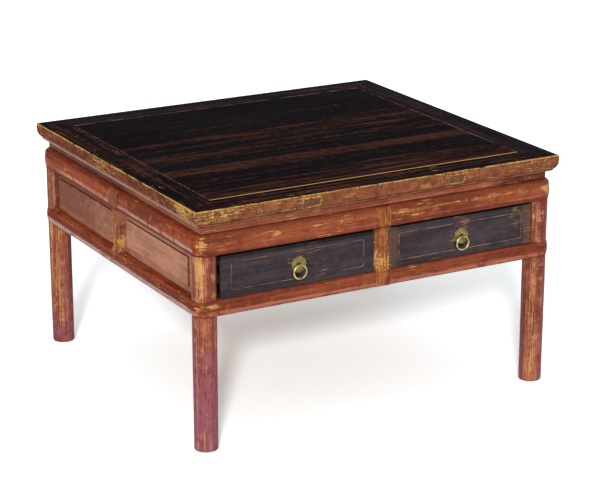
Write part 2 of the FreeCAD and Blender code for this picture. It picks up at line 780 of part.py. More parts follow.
def drawerFront(hand, x):
    body = newPiece(f"drawer_{hand}_front", x, "0", "drawerFoot")
    outline = box("-frontHalf", "frontHalf", "0", "frontHeight")
    slab = pad(body, "slab", "XZ", "frontBack", "frontThickness", outline)
    doc.recompute()
    face = -number("frontFace")
    names = []
    for index, edge in enumerate(slab.Shape.Edges, start=1):
        if abs(edge.BoundBox.YMax - face) < Part.Precision.confusion() * 10:
            names.append(f"Edge{index}")
    arris = body.newObject("PartDesign::Fillet", body.Name + "_arris")
    arris.Base = (slab, names)
    arris.setExpression("Radius", formula("frontArris"))
    line = newSketch(body, "line", "XZ", "frontFace - lineDepth")
    draw(line, roundedBox("frontHalf - lineInsetSide", "lineInset", "frontHeight - lineInset", "lineRound"))
    draw(line, roundedBox("frontHalf - lineInsetSide - lineWidth", "lineInset + lineWidth",
                          "frontHeight - lineInset - lineWidth", "lineRound - lineWidth"))
    cutAlong(body, "line_groove", line, "lineDepth + overrun")
    pocket(body, "left_sockets", "YZ", "-frontHalf - overrun", "wallThickness + overrun", *tails("overrun"))
    pocket(body, "right_sockets", "YZ", "wallInner", "wallThickness + overrun", *tails("overrun"))
    groove = box("-wallInner", "wallInner", "-frontBack - bottomHousing", "overrun - frontBack")
    pocket(body, "bottom_groove", "XY", "bottomLift", "bottomThickness", groove)
    hole = newSketch(body, "hole", "XZ", "frontBack - overrun")
    drawCircle(hole, "0", "frontHeight / 2", "stapleHole + boreSlack")
    cutAlong(body, "staple_hole", hole, "frontThickness + 2 * overrun")


def drawerSide(hand, x, name, end):
    body = newPiece(f"drawer_{hand}_side_{name}", x, "0", "drawerFoot")
    wall = [("-frontBack", "0"), ("boxEnd", "0"), ("boxEnd", "wallHeight"), ("-frontBack", "wallHeight")]
    outer = "wallInner" if end > 0 else "-frontHalf"
    pad(body, "wall", "YZ", outer, "wallThickness", wall)
    pad(body, "tails", "YZ", outer, "wallThickness", *tails("backHousing"))
    inner, deep = f"{end} * (wallInner - overrun)", f"{end} * (wallInner + bottomHousing)"
    pocket(body, "bottom_groove", "XY", "bottomLift", "bottomThickness",
           box(inner, deep, "-frontBack", "boxEnd + overrun"))
    pocket(body, "back_housing", "XY", "bottomTop", "wallHeight",
           box(inner, f"{end} * (wallInner + backHousing)", "backFace - backWall", "backFace"))


def drawerBack(hand, x):
    body = newPiece(f"drawer_{hand}_back", x, "0", "drawerFoot")
    wide = "wallInner + backHousing"
    pad(body, "board", "XY", "bottomTop", "wallHeight - backDrop - bottomTop",
        box(f"-({wide})", wide, "backFace - backWall", "backFace"))


def drawerBottom(hand, x):
    body = newPiece(f"drawer_{hand}_bottom", x, "0", "drawerFoot")
    wide = "wallInner + bottomHousing"
    board = box(f"-({wide})", wide, "-frontBack", "backFace")
    pad(body, "board", "XY", "bottomLift", "bottomThickness", board)
    tongue = box("-wallInner", "wallInner", "-frontBack - bottomHousing", "-frontBack")
    pad(body, "tongue", "XY", "bottomLift", "bottomThickness", tongue)


# The pull of each drawer: drawn with X 0 and Z 0 at the middle of the plate

def plate(hand, x):
    # a thin round plate with a sloping rim and a hole for the staple
    body = newPiece("plate_" + hand, x, "0", "pullHeight")
    profile = [
        ("-frontFace", "stapleHole"),
        ("-frontFace", "plateRadius"),
        ("-frontFace - plateEdge", "plateRadius"),
        ("-frontFace - plateThickness", "plateRadius - plateRim"),
        ("-frontFace - plateThickness", "stapleHole"),
    ]
    revolve(body, "disc", "YZ", "0", "H_Axis", 360, profile)


def stapleEdge(past, way):
    # one edge of the folded strap, seen from the side: past is 1 for the edge next to the wood, -1 for
    # the one next to the slit, and way is 1 for the upper half, -1 for the lower one
    aside = f"{past} * strapHalf"
    share = f"(eyeRadius + {aside}) / (eyeRadius + stapleNeck)"
    return [
        (f"-clinchPlace - {aside}", f"{way} * (stapleLeg + stapleBend + stapleClinch)"),
        (f"-clinchPlace - {aside}", f"{way} * (stapleLeg + stapleBend)", f"stapleBend - {aside}", -way),
        ("-clinchPlace - stapleBend", f"{way} * (stapleLeg + {aside})"),
        ("neckBack - eyePlace", f"{way} * (stapleLeg + {aside})", f"stapleNeck - {aside}", -way),
        (f"neckBack * {share} - eyePlace", f"{way} * (stapleLeg + stapleNeck) * {share}",
         f"eyeRadius + {aside}", way),
        (f"-eyePlace - eyeRadius - {aside}", "0"),
    ]


def backward(corners):
    # the same outline walked the other way: each arc is now held by the corner that ended it
    turned = []
    for k in range(len(corners) - 1, 0, -1):
        arc = corners[k - 1][2:]
        turned.append(corners[k][:2] + ((arc[0], -arc[1]) if arc else ()))
    return turned + [corners[0][:2]]


def staple(hand, x):
    # a strap folded round the ring, led back through the front and clinched inside the drawer
    body = newPiece("staple_" + hand, x, "0", "pullHeight")
    outline = stapleEdge(1, 1)[:-1] + backward(stapleEdge(1, -1))
    outline += stapleEdge(-1, -1)[:-1] + backward(stapleEdge(-1, 1))
    pad(body, "strap", "YZ", "-strapWidth / 2", "strapWidth", outline)


def ring(hand, x):
    # a wire of many flats, turned about the ring's middle
    body = newPiece("ring_" + hand, x, "-eyePlace", "pullHeight - ringRadius")
    section = []
    for k in range(ringSides):
        angle = f"({k} * 360 / {ringSides} * 1 deg)"
        section.append((f"ringRadius + ringWire * cos{angle}", f"ringWire * sin{angle}"))
    revolve(body, "wire", "XY", "0", "V_Axis", 360, section)


# The sticks that carry the drawers

def runner(name, middle, width):
    body = newPiece("runner_" + name, middle)
    pad(body, "stick", "XY", "runnerUnder", "runnerDepth",
        box(f"-{width} / 2", f"{width} / 2", "-runnerReach", "runnerReach"))
    reach = "runnerReach + runnerTenonLength"
    pad(body, "tenons", "XY", "runnerUnder", "runnerTenonThick",
        box(f"-{width} / 2", f"{width} / 2", f"-({reach})", reach))


def guide(name, left, right, reach):
    body = newPiece("guide_" + name)
    pad(body, "stick", "XY", "openingBottom", "guideHeight", box(left, right, f"-({reach})", reach))


# The whole table

corners = {
    "front_left": ("-legX", "-legY", 0, "y"),
    "front_right": ("legX", "-legY", 90, "x"),
    "back_right": ("legX", "legY", 180, "xy"),
    "back_left": ("-legX", "legY", 270, "xy"),
}
for name, (x, y, turn, grooves) in corners.items():
    leg(name, x, y, turn, grooves)
for side in sides:
    topFrame(side)
    waistBoard(side)
    rail("upper", side)
    rail("lower", side)
    strut(side)
for index in range(len(boardNames)):
    topBoard(index)
batten("left", -1)
batten("right", 1)
for name, side, end in (("left_front", "left", 1), ("left_back", "left", -1), ("right_front", "right", -1),
                        ("right_back", "right", 1), ("back_left", "back", 1), ("back_right", "back", -1)):
    panel(name, side, end)
runner("left", "-sideRunner", "runnerWidth")
runner("middle", "0", "middleRunnerWidth")
runner("right", "sideRunner", "runnerWidth")
guide("left", "-guideOuter", "-guideInner", "legY - legRadius - jointGap")
guide("middle", "-guideMiddle", "guideMiddle", "runnerReach")
guide("right", "guideInner", "guideOuter", "legY - legRadius - jointGap")
for hand, x in (("left", "-bayMiddle"), ("right", "bayMiddle")):
    drawerFront(hand, x)
    drawerSide(hand, x, "left", -1)
    drawerSide(hand, x, "right", 1)
    drawerBack(hand, x)
    drawerBottom(hand, x)
    plate(hand, x)
    staple(hand, x)
    ring(hand, x)
doc.recompute()

# Every object has to be sound, and every cut has to take something away
pieces = [item for item in doc.Objects if item.TypeId == "PartDesign::Body"]
for item in doc.Objects:
    if "Invalid" in item.State or "Error" in item.State:
        raise RuntimeError(f"{item.Label} failed: {item.State}")
    if item.TypeId == "PartDesign::Pocket" and item.Shape.Volume >= item.BaseFeature.Shape.Volume:
        raise RuntimeError(f"{item.Label} cuts nothing")
for piece in pieces:
    if piece.Shape.isNull() or not piece.Shape.isValid():
        raise RuntimeError(f"{piece.Label} is not a valid shape")
    if len(piece.Shape.Solids) != 1:
        raise RuntimeError(f"{piece.Label} has {len(piece.Shape.Solids)} solids")

os.makedirs("parts", exist_ok=True)
for piece in pieces:
    piece.Shape.exportStep(f"parts/{piece.Label}.step")
print(len(pieces), "pieces")
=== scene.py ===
import math

import bmesh
import bpy
import numpy as np
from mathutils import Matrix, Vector


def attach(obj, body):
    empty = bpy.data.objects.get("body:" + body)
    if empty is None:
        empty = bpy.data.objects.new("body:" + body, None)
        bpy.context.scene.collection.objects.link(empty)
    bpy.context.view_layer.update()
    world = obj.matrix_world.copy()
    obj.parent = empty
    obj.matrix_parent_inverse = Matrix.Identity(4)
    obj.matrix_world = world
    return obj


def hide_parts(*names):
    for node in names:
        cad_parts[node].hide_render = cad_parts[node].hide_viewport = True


# Kang table: worn lacquer over an ochre ground, rails wrapped round the legs, two drawers.
# Sizes are in millimetres, which makePiece turns into metres; the front faces -Y.
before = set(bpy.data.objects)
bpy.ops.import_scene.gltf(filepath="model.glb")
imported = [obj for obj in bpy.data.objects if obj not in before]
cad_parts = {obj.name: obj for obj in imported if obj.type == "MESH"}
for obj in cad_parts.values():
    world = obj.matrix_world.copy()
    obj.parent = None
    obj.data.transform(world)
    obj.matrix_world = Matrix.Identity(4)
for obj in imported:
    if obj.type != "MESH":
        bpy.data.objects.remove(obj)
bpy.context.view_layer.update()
mm = 0.001
table = {"length": 760, "depth": 700, "top": 450, "legInset": 29.5}
legX = table["length"] / 2 - table["legInset"]
legY = table["depth"] / 2 - table["legInset"]
# heights: the lower rail, the opening and the upper rail from the bottom up, then the top's underside
apronLow, openLow, openTop, railTop, topUnder = 253, 282, 364, 402, 419
print("frame loaded:", len(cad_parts), "nodes")


# Places and outlines

spans = {"front": legX, "right": legY, "back": legX, "left": legY}


def onSide(side, along, out, up):
    # a side's own (along, outward from the line of the leg axes, up) as a place
    away = out + (legY if side in ("front", "back") else legX)
    flat = {"front": (along, -away), "right": (away, along), "back": (-along, away), "left": (-away, -along)}
    return np.stack([*flat[side], up], axis=-1)


def arc(centre, radius, start, stop, count):
    # centre + radius * (cos, sin) of an angle from start to stop, in degrees
    angles = np.radians(np.linspace(start, stop, count))
    return np.stack([centre[0] + radius * np.cos(angles), centre[1] + radius * np.sin(angles)], axis=-1)


def bulge(start, stop, rise, count):
    # a line that swells outward by rise * 4 * share * (1 - share)
    share = np.linspace(0, 1, count)
    line = np.linspace(start, stop, count)
    line[:, 0] += 4 * rise * share * (1 - share)
    return line


def ripple(along, across, length, width, seed):
    # slow unevenness from 0 to 1: three crossed sine waves
    u, v = 2 * np.pi * along / length, 2 * np.pi * across / width
    waves = np.sin(u + 1.7 * seed + 1.3 * np.sin(v + seed))
    waves = waves + np.sin(1.83 * u + 0.71 * v + 2.9 * seed) + np.sin(1.37 * v - 0.57 * u + 0.6 * seed)
    return 0.5 + waves / 6


def unit(value):
    # held between 0 and 1
    return np.clip(value, 0, 1)


def bell(distance, width):
    # 1 at no distance, falling off with the square of the distance over the width
    return np.exp(-(distance / width) ** 2)


def near(across, up, spot, width, tall=None):
    # the same from a spot, across by the width and up by the height, which is the width unless given
    return bell(np.hypot((across - spot[0]) / width, (up - spot[1]) / (tall or width)), 1)


def lengthAround(points):
    # how far each point of an outline lies from the first one, along the outline
    steps = np.hypot(*np.diff(points, axis=0).T)
    return np.concatenate([[0], np.cumsum(steps)])


def shrunk(outline, inset):
    # the outline moved inward along its own normals
    ahead = np.roll(outline, -1, axis=0) - np.roll(outline, 1, axis=0)
    size = np.maximum(np.hypot(*ahead.T), 1e-9)
    normal = np.stack([ahead[:, 1], -ahead[:, 0]], axis=-1) / size[:, None]
    area = np.sum(outline[:, 0] * np.roll(outline[:, 1], -1) - outline[:, 1] * np.roll(outline[:, 0], -1))
    return outline - inset * normal * np.sign(area)


def stations(breaks, step):
    # places from the first break to the last, about a step apart, with every inner break given twice
    parts = []
    for low, high in zip(breaks[:-1], breaks[1:]):
        parts.append(np.linspace(low, high, max(2, int(abs(high - low) / step) + 2)))
    return np.concatenate(parts), np.concatenate([np.full(len(part), k) for k, part in enumerate(parts)])


# Pieces

def newObject(name, data):
    made = bpy.data.objects.new(name, data)
    bpy.context.scene.collection.objects.link(made)
    return made


def makePiece(node, rows, fields, finish, body="carcase", name=None, looped=False):
    # Rows of closed rings: each row is skinned to the next, and the two ends are capped, or joined when
    # looped. Fields are numbers or vectors carried by every point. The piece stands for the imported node.
    first, *rest = node.split("_")
    name = name or first + "".join(word.title() for word in rest)
    rowCount, pointCount = rows.shape[:2]
    index = np.arange(rowCount * pointCount).reshape(rowCount, pointCount)
    rings = np.vstack([index, index[:1]]) if looped else index
    beside = np.roll(rings, -1, axis=1)
    faces = np.stack([rings[:-1], beside[:-1], beside[1:], rings[1:]], axis=-1).reshape(-1, 4).tolist()
    if not looped:
        faces += [index[0][::-1].tolist(), index[-1].tolist()]
    mesh = bpy.data.meshes.new(name)
    mesh.from_pydata((rows * mm).reshape(-1, 3).tolist(), [], faces)
    for key, values in fields.items():
        kind, part, size = ("FLOAT_VECTOR", "vector", (3,)) if key == "grain" else ("FLOAT", "value", ())
        spread = np.broadcast_to(values, (rowCount, pointCount) + size).astype(np.float32)
        mesh.attributes.new(key, kind, "POINT").data.foreach_set(part, spread.ravel())
    loose = bmesh.new()
    loose.from_mesh(mesh)
    bmesh.ops.remove_doubles(loose, verts=loose.verts, dist=1e-6)
    bmesh.ops.dissolve_degenerate(loose, dist=1e-6, edges=loose.edges)
    bmesh.ops.recalc_face_normals(loose, faces=loose.faces)
    loose.to_mesh(mesh)
    loose.free()
    mesh.shade_smooth()
    mesh.set_sharp_from_angle(angle=math.radians(32))
    mesh.materials.append(finishes[finish])
    piece = newObject(name, mesh)
    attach(piece, body)
    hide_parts(node)


def grainOf(along, across, seed):
    # the wood's own coordinates in metres: along the grain, across it, and a number that tells pieces apart
    along, across = np.broadcast_arrays(along, across)
    return np.stack([along * mm, across * mm, np.full(along.shape, float(seed))], axis=-1)


# Shaders: a wire is a socket whose sums add Math nodes

class Wire:
    def __init__(self, tree, socket):
        self.tree, self.socket = tree, socket

    def node(self, kind, settings, inputs, output=0):
        made = self.tree.nodes.new(kind)
        for key, value in settings.items():
            setattr(made, key, value)
        for key, value in inputs.items():
            if isinstance(value, Wire):
                self.tree.links.new(value.socket, made.inputs[key])
            else:
                made.inputs[key].default_value = value
        return Wire(self.tree, made.outputs[output])

    def sum(self, operation, *values):
        return self.node("ShaderNodeMath", {"operation": operation}, dict(enumerate(values)))

    def __add__(self, other):
        return self.sum("ADD", self, other)

    def __radd__(self, other):
        return self.sum("ADD", other, self)

    def __sub__(self, other):
        return self.sum("SUBTRACT", self, other)

    def __rsub__(self, other):
        return self.sum("SUBTRACT", other, self)

    def __mul__(self, other):
        return self.sum("MULTIPLY", self, other)

    def most(self, other):
        return self.sum("MAXIMUM", self, other)

    def least(self, other):
        return self.sum("MINIMUM", self, other)

    def step(self, low, high):
        # 0 below low, 1 above high, smooth between; falls instead when low is above high
        if low > high:
            return 1 - self.step(high, low)
        return self.node("ShaderNodeMapRange", {"interpolation_type": "SMOOTHSTEP"},
                         {"Value": self, "From Min": low, "From Max": high})

    def between(self, first, second):
        # the first colour where this is 0, the second where it is 1
        return self.node("ShaderNodeMix", {"data_type": "RGBA"}, {0: self, 6: first, 7: second}, 2)

    def noise(self, scale, detail, shift):
        # noise from 0 to 1 at this place, scaled and then moved
        moved = self.node("ShaderNodeVectorMath", {"operation": "MULTIPLY_ADD"},
                          {0: self, 1: scale, 2: (shift, 1.7 * shift, 0.3 * shift)})
        return self.node("ShaderNodeTexNoise", {"noise_dimensions": "3D"},
                         {"Vector": moved, "Scale": 1.0, "Detail": detail, "Roughness": 0.62})

    def streaks(self, length, width, detail=3.0, shift=0.0):
        # noise drawn out along the grain: length and width of a streak in millimetres
        return self.noise((1000 / length, 1000 / width, 7.3), detail, shift)

    def spots(self, size, detail=4.0, shift=0.0):
        # noise that is even in all directions: size of a spot in millimetres
        return self.noise((1000 / size,) * 3, detail, shift)

    def toOutput(self, kind):
        # this shader is what a material or the world shows
        output = self.tree.nodes.new(kind)
        self.tree.links.new(self.socket, output.inputs["Surface"])


def paint(red, green, blue):
    # a colour as a paint chart gives it, 0 to 255, made linear
    share = np.array([red, green, blue]) / 255
    return (*np.where(share <= 0.04045, share / 12.92, ((share + 0.055) / 1.055) ** 2.4).tolist(), 1.0)


def paints(look):
    # a look with each of its colours made linear; its pairs are sizes and ranges, and stay
    return {key: paint(*value) if isinstance(value, tuple) and len(value) == 3 else value
            for key, value in look.items()}


def emptyTree(owner):
    # the nodes of a material or the world, cleared, as a wire that new nodes start from
    owner.use_nodes = True
    owner.node_tree.nodes.clear()
    return Wire(owner.node_tree, None)


def beginLook(name):
    material = bpy.data.materials.new(name)
    start = emptyTree(material)
    wires = {"start": start, "place": start.node("ShaderNodeTexCoord", {}, {}, 3)}
    for key in ("grain", "wear", "dirt", "seam", "pale", "shade", "rub"):
        output = 1 if key == "grain" else 2
        wires[key] = start.node("ShaderNodeAttribute", {"attribute_name": key}, {}, output)
    for key, output in (("y", 1), ("z", 2)):
        # in millimetres
        wires[key] = start.node("ShaderNodeSeparateXYZ", {}, {"Vector": wires["place"]}, output) * 1000.0
    return material, wires


def endLook(wires, colour, roughness, height, strength, distance, extra):
    start = wires["start"]
    relief = {"Height": height, "Strength": strength, "Distance": distance * mm}
    bump = start.node("ShaderNodeBump", {}, relief)
    sockets = {"Base Color": colour, "Roughness": roughness, "Normal": bump, **extra}
    start.node("ShaderNodeBsdfPrincipled", {}, sockets).toOutput("ShaderNodeOutputMaterial")


def overlaid(colour, coatings):
    # coat upon coat, each given as where it shows, how strongly, and its colour
    for where, share, coat in coatings:
        colour = (where * share).between(colour, coat)
    return colour


# The lacquers: colour coats over an ochre ground, worn through at the arrises

def lacquer(name, look):
    material, wires = beginLook(name)
    grain, place, wear = wires["grain"], wires["place"], wires["wear"]
    length, width = look["line"]
    lines = grain.streaks(length, width, 4.0)
    bands = grain.streaks(length * 2.6, width * 6, 3.0, 3.1)
    fibre = grain.streaks(26, 1.0, 2.0, 5.7)
    cloud = place.spots(look["cloud"], 4.0, 1.9)
    blots = place.spots(15, 4.0, 13.7)
    specks = place.spots(4.5, 4.0, 5.3)
    dabs = grain.streaks(*look["dab"], 3.0, 9.1)
    # coats, from the broad to the fine
    colour = (bands * 0.6 + cloud * 0.4).step(0.43, 0.57).between(look["deep"], look["body"])
    drawn = lines.step(0.5, 0.62) * (bands * 0.7 + blots * 0.3 + wires["rub"]).step(*look["linesWhere"])
    colour = overlaid(colour, [
        (drawn, look["lines"], look["light"]), (blots.step(0.54, 0.68), look["mottle"], look["light"]),
    ])
    if "flank" in look:
        flank = wires["z"].step(449.4, 448.2) * wires["z"].step(400, 410)
        shade = (bands * 0.4 + blots * 0.6).step(0.42, 0.6).between(look["flankDeep"], look["flank"])
        colour = flank.between(colour, shade)
    # the shade field lays on the shaded colour, mostly painted shade; the pale field lays on painted sheen,
    # highlights and reflection, and on some pieces a paler tone
    shaded = (wires["shade"] + (blots - 0.5) * 0.7 + (lines - 0.5) * 0.5).step(0.2, 0.8)
    pale = (wires["pale"] + (lines - 0.5) * 1.1 + (blots - 0.5) * 0.7).step(0.28, 0.72)
    # wear: rubbed coats, then the bare ground, with scratches along the grain
    edge = wear + (specks - 0.5) * look["speckle"] + (dabs - 0.5) * look["ragged"]
    scratch = grain.streaks(*look["scratch"], 2.0, 7.7)
    patch = place.spots(60, 2.0, 11.3)
    scraped = scratch.step(0.6, 0.66) * (patch + wear * 0.5).step(0.6, 0.7) * look["scratches"]
    bare = edge.step(0.5, 0.58).most(scraped)
    ground = (fibre * 0.5 + blots * 0.5).step(0.4, 0.6).between(look["ochre"], look["paleOchre"])
    ground = (specks.step(0.6, 0.7) * look["chips"]).between(ground, look["chip"])
    line = (wires["seam"] + (dabs - 0.5) * 0.9 + (specks - 0.5) * 0.5).step(0.4, 0.56)
    seamColour = wires["seam"].step(0.5, 0.7).between(look["faintSeam"], look["seam"])
    # grime mask: real dirt and dark joints, and painted shade in creases, recesses, under parts and in cast
    # shadows
    grime = (wires["dirt"] + (specks - 0.5) * 0.5 + (lines - 0.5) * 0.4).step(0.15, 0.95)
    colour = overlaid(colour, [
        (shaded, 0.9, look["shaded"]), (pale, 0.85, look["pale"]),
        (blots.step(0.46, 0.32), look["pores"], look["deep"]),
        (fibre.step(0.44, 0.33), look["pores"], look["grime"]),
        (edge.step(0.26, 0.5), look["rubShare"], look["rubbed"]), (bare, look["bare"], ground),
        (line, 1.0, seamColour), (grime, 0.9, look["grime"]),
    ])
    height = lines * 0.3 + fibre * 0.15 + specks * 0.2 + blots * 0.3 - bare * 0.7 - line * 0.4 + bands * 0.2
    rough = look["rough"] + (cloud - 0.5) * 0.35 + bare * 0.25 + grime * 0.2 + (lines - 0.5) * 0.2
    if "bareBehind" in look:
        # from this y backwards, in millimetres, the wood was never lacquered
        y = look["bareBehind"]
        wood = bands.step(0.4, 0.6).between(bareLook["deep"], bareLook["body"])
        wood = (fibre.step(0.4, 0.6) * 0.5).between(wood, bareLook["light"])
        colour = wires["y"].step(y, y + 0.3).between(colour, wood)
    endLook(wires, colour, rough.least(0.95), height, look["bump"], 0.4,
            {"Specular IOR Level": look["specular"]})
    return material


bareLook = paints({"deep": (112, 78, 52), "body": (166, 124, 86), "light": (196, 156, 112)})
# in each look, pale is the colour of painted sheen, highlights and paler tone, shaded mostly of painted
# shade, and grime of dirt, pores and painted shade
plainLacquer = {
    "deep": (96, 42, 26), "body": (138, 68, 42), "light": (172, 104, 68),
    "shaded": (74, 34, 26), "pale": (166, 122, 104), "rubbed": (166, 100, 60),
    "seam": (192, 150, 96), "faintSeam": (104, 66, 56), "grime": (34, 16, 14),
    "ochre": (172, 124, 54), "paleOchre": (208, 164, 92), "chip": (220, 204, 180),
    "line": (110, 3.2), "cloud": 70, "dab": (30, 4), "scratch": (34, 2.6),
    "lines": 0.7, "linesWhere": (0.4, 0.52), "mottle": 0.5, "pores": 0.6, "speckle": 1.0, "ragged": 1.1,
    "rubShare": 0.55, "bare": 0.92, "scratches": 0.9, "chips": 0.6, "rough": 0.45, "bump": 0.3,
    "specular": 0.07,
}
topCoat = {
    **plainLacquer, "deep": (5, 4, 7), "body": (12, 8, 11), "light": (112, 62, 46),
    "shaded": (10, 7, 10), "pale": (74, 40, 32), "rubbed": (78, 46, 36), "line": (150, 2.2),
    "linesWhere": (0.48, 0.62), "lines": 0.9, "mottle": 0.06, "pores": 0.2, "rubShare": 0.5, "rough": 0.55,
    "specular": 0.003, "scratches": 0.1, "cloud": 120, "grime": (12, 7, 7), "bump": 0.2,
    "seam": (226, 178, 98), "faintSeam": (134, 96, 90),
}
coats = {
    # the top's edge in copies that differ by painted light: front and left are the lit copies, the left with
    # the brightest painted highlight on its bead; right and back share the copy with painted shade on the
    # flank and a painted purple sheen on top
    "frontEdgeLacquer": {
        **topCoat, "flank": (156, 94, 64), "flankDeep": (124, 72, 50), "pale": (158, 104, 86),
        "ochre": (164, 120, 60), "scratches": 0.9, "ragged": 1.4, "dab": (22, 2.2), "chips": 0.25,
    },
    "leftEdgeLacquer": {
        **topCoat, "flank": (134, 78, 58), "flankDeep": (104, 54, 42), "pale": (204, 162, 148),
        "ochre": (160, 118, 56), "scratches": 0.8, "ragged": 1.4, "dab": (22, 2.2),
    },
    "sheenAndShadeEdgeLacquer": {
        **topCoat, "deep": (16, 13, 20), "body": (28, 21, 29), "light": (78, 52, 54),
        "flank": (112, 66, 58), "flankDeep": (76, 44, 44), "pale": (122, 88, 80),
        "speckle": 0.8, "ragged": 0.9,
    },
    "boardLacquer": {**topCoat, "speckle": 0.6, "ragged": 0.6, "rubShare": 0.3},
    "waistLacquer": {
        **plainLacquer, "deep": (132, 70, 48), "body": (164, 94, 66), "light": (176, 110, 78),
        "shaded": (84, 42, 34), "line": (160, 2.6), "mottle": 0.3,
    },
    "frontRailLacquer": {
        **plainLacquer, "deep": (108, 48, 30), "body": (140, 70, 44), "light": (166, 98, 64),
        "shaded": (104, 46, 30), "pale": (172, 106, 84), "ochre": (176, 120, 62),
        "line": (180, 2.6), "dab": (60, 2.4), "chips": 0.15, "lines": 0.5, "mottle": 0.3, "rubShare": 0.4,
    },
    "sideRailLacquer": {
        **plainLacquer, "deep": (106, 42, 24), "body": (148, 64, 36), "light": (168, 92, 58),
        "shaded": (104, 44, 26), "pale": (188, 152, 142), "specular": 0.02, "chips": 0.2,
        "line": (150, 2.8),
    },
    "strutLacquer": {
        **plainLacquer, "deep": (106, 52, 34), "body": (144, 78, 50), "light": (174, 112, 68),
        "shaded": (116, 52, 36), "line": (80, 3.0), "linesWhere": (0.3, 0.5), "specular": 0.03,
    },
    "legLacquer": {
        **plainLacquer, "deep": (116, 58, 46), "body": (148, 82, 64), "light": (200, 142, 102),
        "shaded": (142, 80, 96), "pale": (182, 122, 108), "ochre": (180, 124, 66),
        "paleOchre": (208, 160, 100), "rubbed": (170, 106, 74), "grime": (66, 30, 26),
        "line": (190, 2.4), "dab": (60, 2.2), "scratch": (90, 1.8), "specular": 0.04,
        "ragged": 1.5, "chips": 0.2, "linesWhere": (0.46, 0.6), "pores": 0.8,
    },
    "panelLacquer": {
        **plainLacquer, "deep": (156, 102, 80), "body": (182, 128, 104), "light": (192, 140, 118),
        "shaded": (112, 58, 42), "grime": (74, 36, 26), "line": (70, 3.0), "lines": 0.5, "mottle": 0.3,
        "pores": 0.3, "scratches": 0.2, "rough": 0.6, "rubShare": 0.4,
    },
    "drawerLacquer": {
        **plainLacquer, "deep": (50, 44, 48), "body": (62, 55, 60), "light": (84, 70, 66),
        "shaded": (90, 68, 58), "pale": (104, 84, 70), "rubbed": (98, 74, 58),
        "seam": (166, 122, 82), "faintSeam": (128, 90, 64), "grime": (16, 11, 12),
        "lines": 0.4, "mottle": 0.35, "pores": 0.3, "scratches": 0.6, "specular": 0.05, "rough": 0.6,
        "ochre": (140, 98, 54), "paleOchre": (180, 140, 92), "bump": 0.2, "bareBehind": -322.6,
    },
}
finishes = {name: lacquer(name, paints(look)) for name, look in coats.items()}
print("lacquers mixed:", ", ".join(finishes))


# Bare wood inside the drawers and below, and the brass of the pulls

def bareWood(name, look, axis):
    # year rings as contour lines of a noise drawn out along the axis, with fibres and pores
    material, wires = beginLook(name)
    place = wires["place"]

    def drawn(length, width, detail, shift):
        scale = [1000 / width] * 3
        scale[axis] = 1000 / length
        moved = place.node("ShaderNodeVectorMath", {"operation": "MULTIPLY_ADD"},
                           {0: place, 1: tuple(scale), 2: (shift, shift * 1.3, shift * 0.7)})
        return place.node("ShaderNodeTexNoise", {}, {"Vector": moved, "Scale": 1.0, "Detail": detail})

    contours = drawn(420, 42, 2.0, 1.4) * 14.0 + drawn(60, 3, 2.0, 4.1) * 0.7
    rings = contours.node("ShaderNodeMath", {"operation": "PINGPONG"}, {0: contours, 1: 1.0})
    fibre, pores = drawn(70, 1.1, 3.0, 2.6), drawn(9, 0.8, 2.0, 6.3)
    cloud = place.spots(90, 3.0, 2.2)
    pits = pores.step(0.36, 0.28)
    colour = overlaid(look["body"], [
        (rings.step(0.25, 0.95), 0.55, look["deep"]), (fibre.step(0.5, 0.68), 0.55, look["light"]),
        (pits, 0.5, look["deep"]), (cloud.step(0.45, 0.7), 0.35, look["deep"]),
    ])
    height = rings * 0.3 + fibre * 0.6 - pits * 0.5
    rough = 0.62 + (cloud - 0.5) * 0.2 + (fibre - 0.5) * 0.2
    endLook(wires, colour, rough, height, 0.25, 0.25, {"Specular IOR Level": 0.2})
    return material


def oldBrass(name, polished, tarnish, dark, rough):
    material, wires = beginLook(name)
    place = wires["place"]
    cloud = place.spots(7, 4.0, 4.4)
    specks = place.spots(1.4, 4.0, 8.1)
    brushed = wires["grain"].streaks(30, 0.6, 3.0, 6.2)
    colour = cloud.step(0.35, 0.65).between(polished, tarnish)
    colour = (specks.step(0.58, 0.7) * 0.55 + wires["dirt"] * 0.8).least(1.0).between(colour, dark)
    height = specks * 0.6 + brushed * 0.25 + cloud * 0.5
    roughness = rough + (cloud - 0.5) * 0.3 + (specks - 0.5) * 0.15
    metal = 0.95 - specks.step(0.55, 0.75) * 0.45 - wires["dirt"] * 0.3
    endLook(wires, colour, roughness, height, 0.35, 0.2, {"Metallic": metal})
    return material


for name, axis in (("crossWood", 0), ("bareWood", 1)):
    finishes[name] = bareWood(name, bareLook, axis)
darkWood = paints({"deep": (58, 34, 24), "body": (104, 66, 44), "light": (150, 106, 66)})
finishes["battenWood"] = bareWood("battenWood", darkWood, 1)
for name, colours, rough in (
    ("plateBrass", [(160, 142, 84), (122, 104, 56), (58, 46, 30)], 0.48),
    ("ringBrass", [(196, 180, 134), (140, 122, 80), (48, 36, 22)], 0.4),
):
    finishes[name] = oldBrass(name, *[paint(*colour) for colour in colours], rough)
print("wood and brass ready")


# The top: four mitred members with a moulded edge, and three boards

topSizes = {"width": 56.5, "arris": 2.0, "ovoloCentre": (8.53, 438.18), "ovolo": 21.0, "beadTop": 422.5,
            "beadOut": 21.5, "gap": 0.5, "cornerLength": 28.0, "step": 9.0, "wornArris": (28.4, 448.8)}
topInner = table["legInset"] - topSizes["width"]
battens = {"place": 151.0, "half": 16.15, "low": 428.4, "high": 441.5, "depth": 1.5}
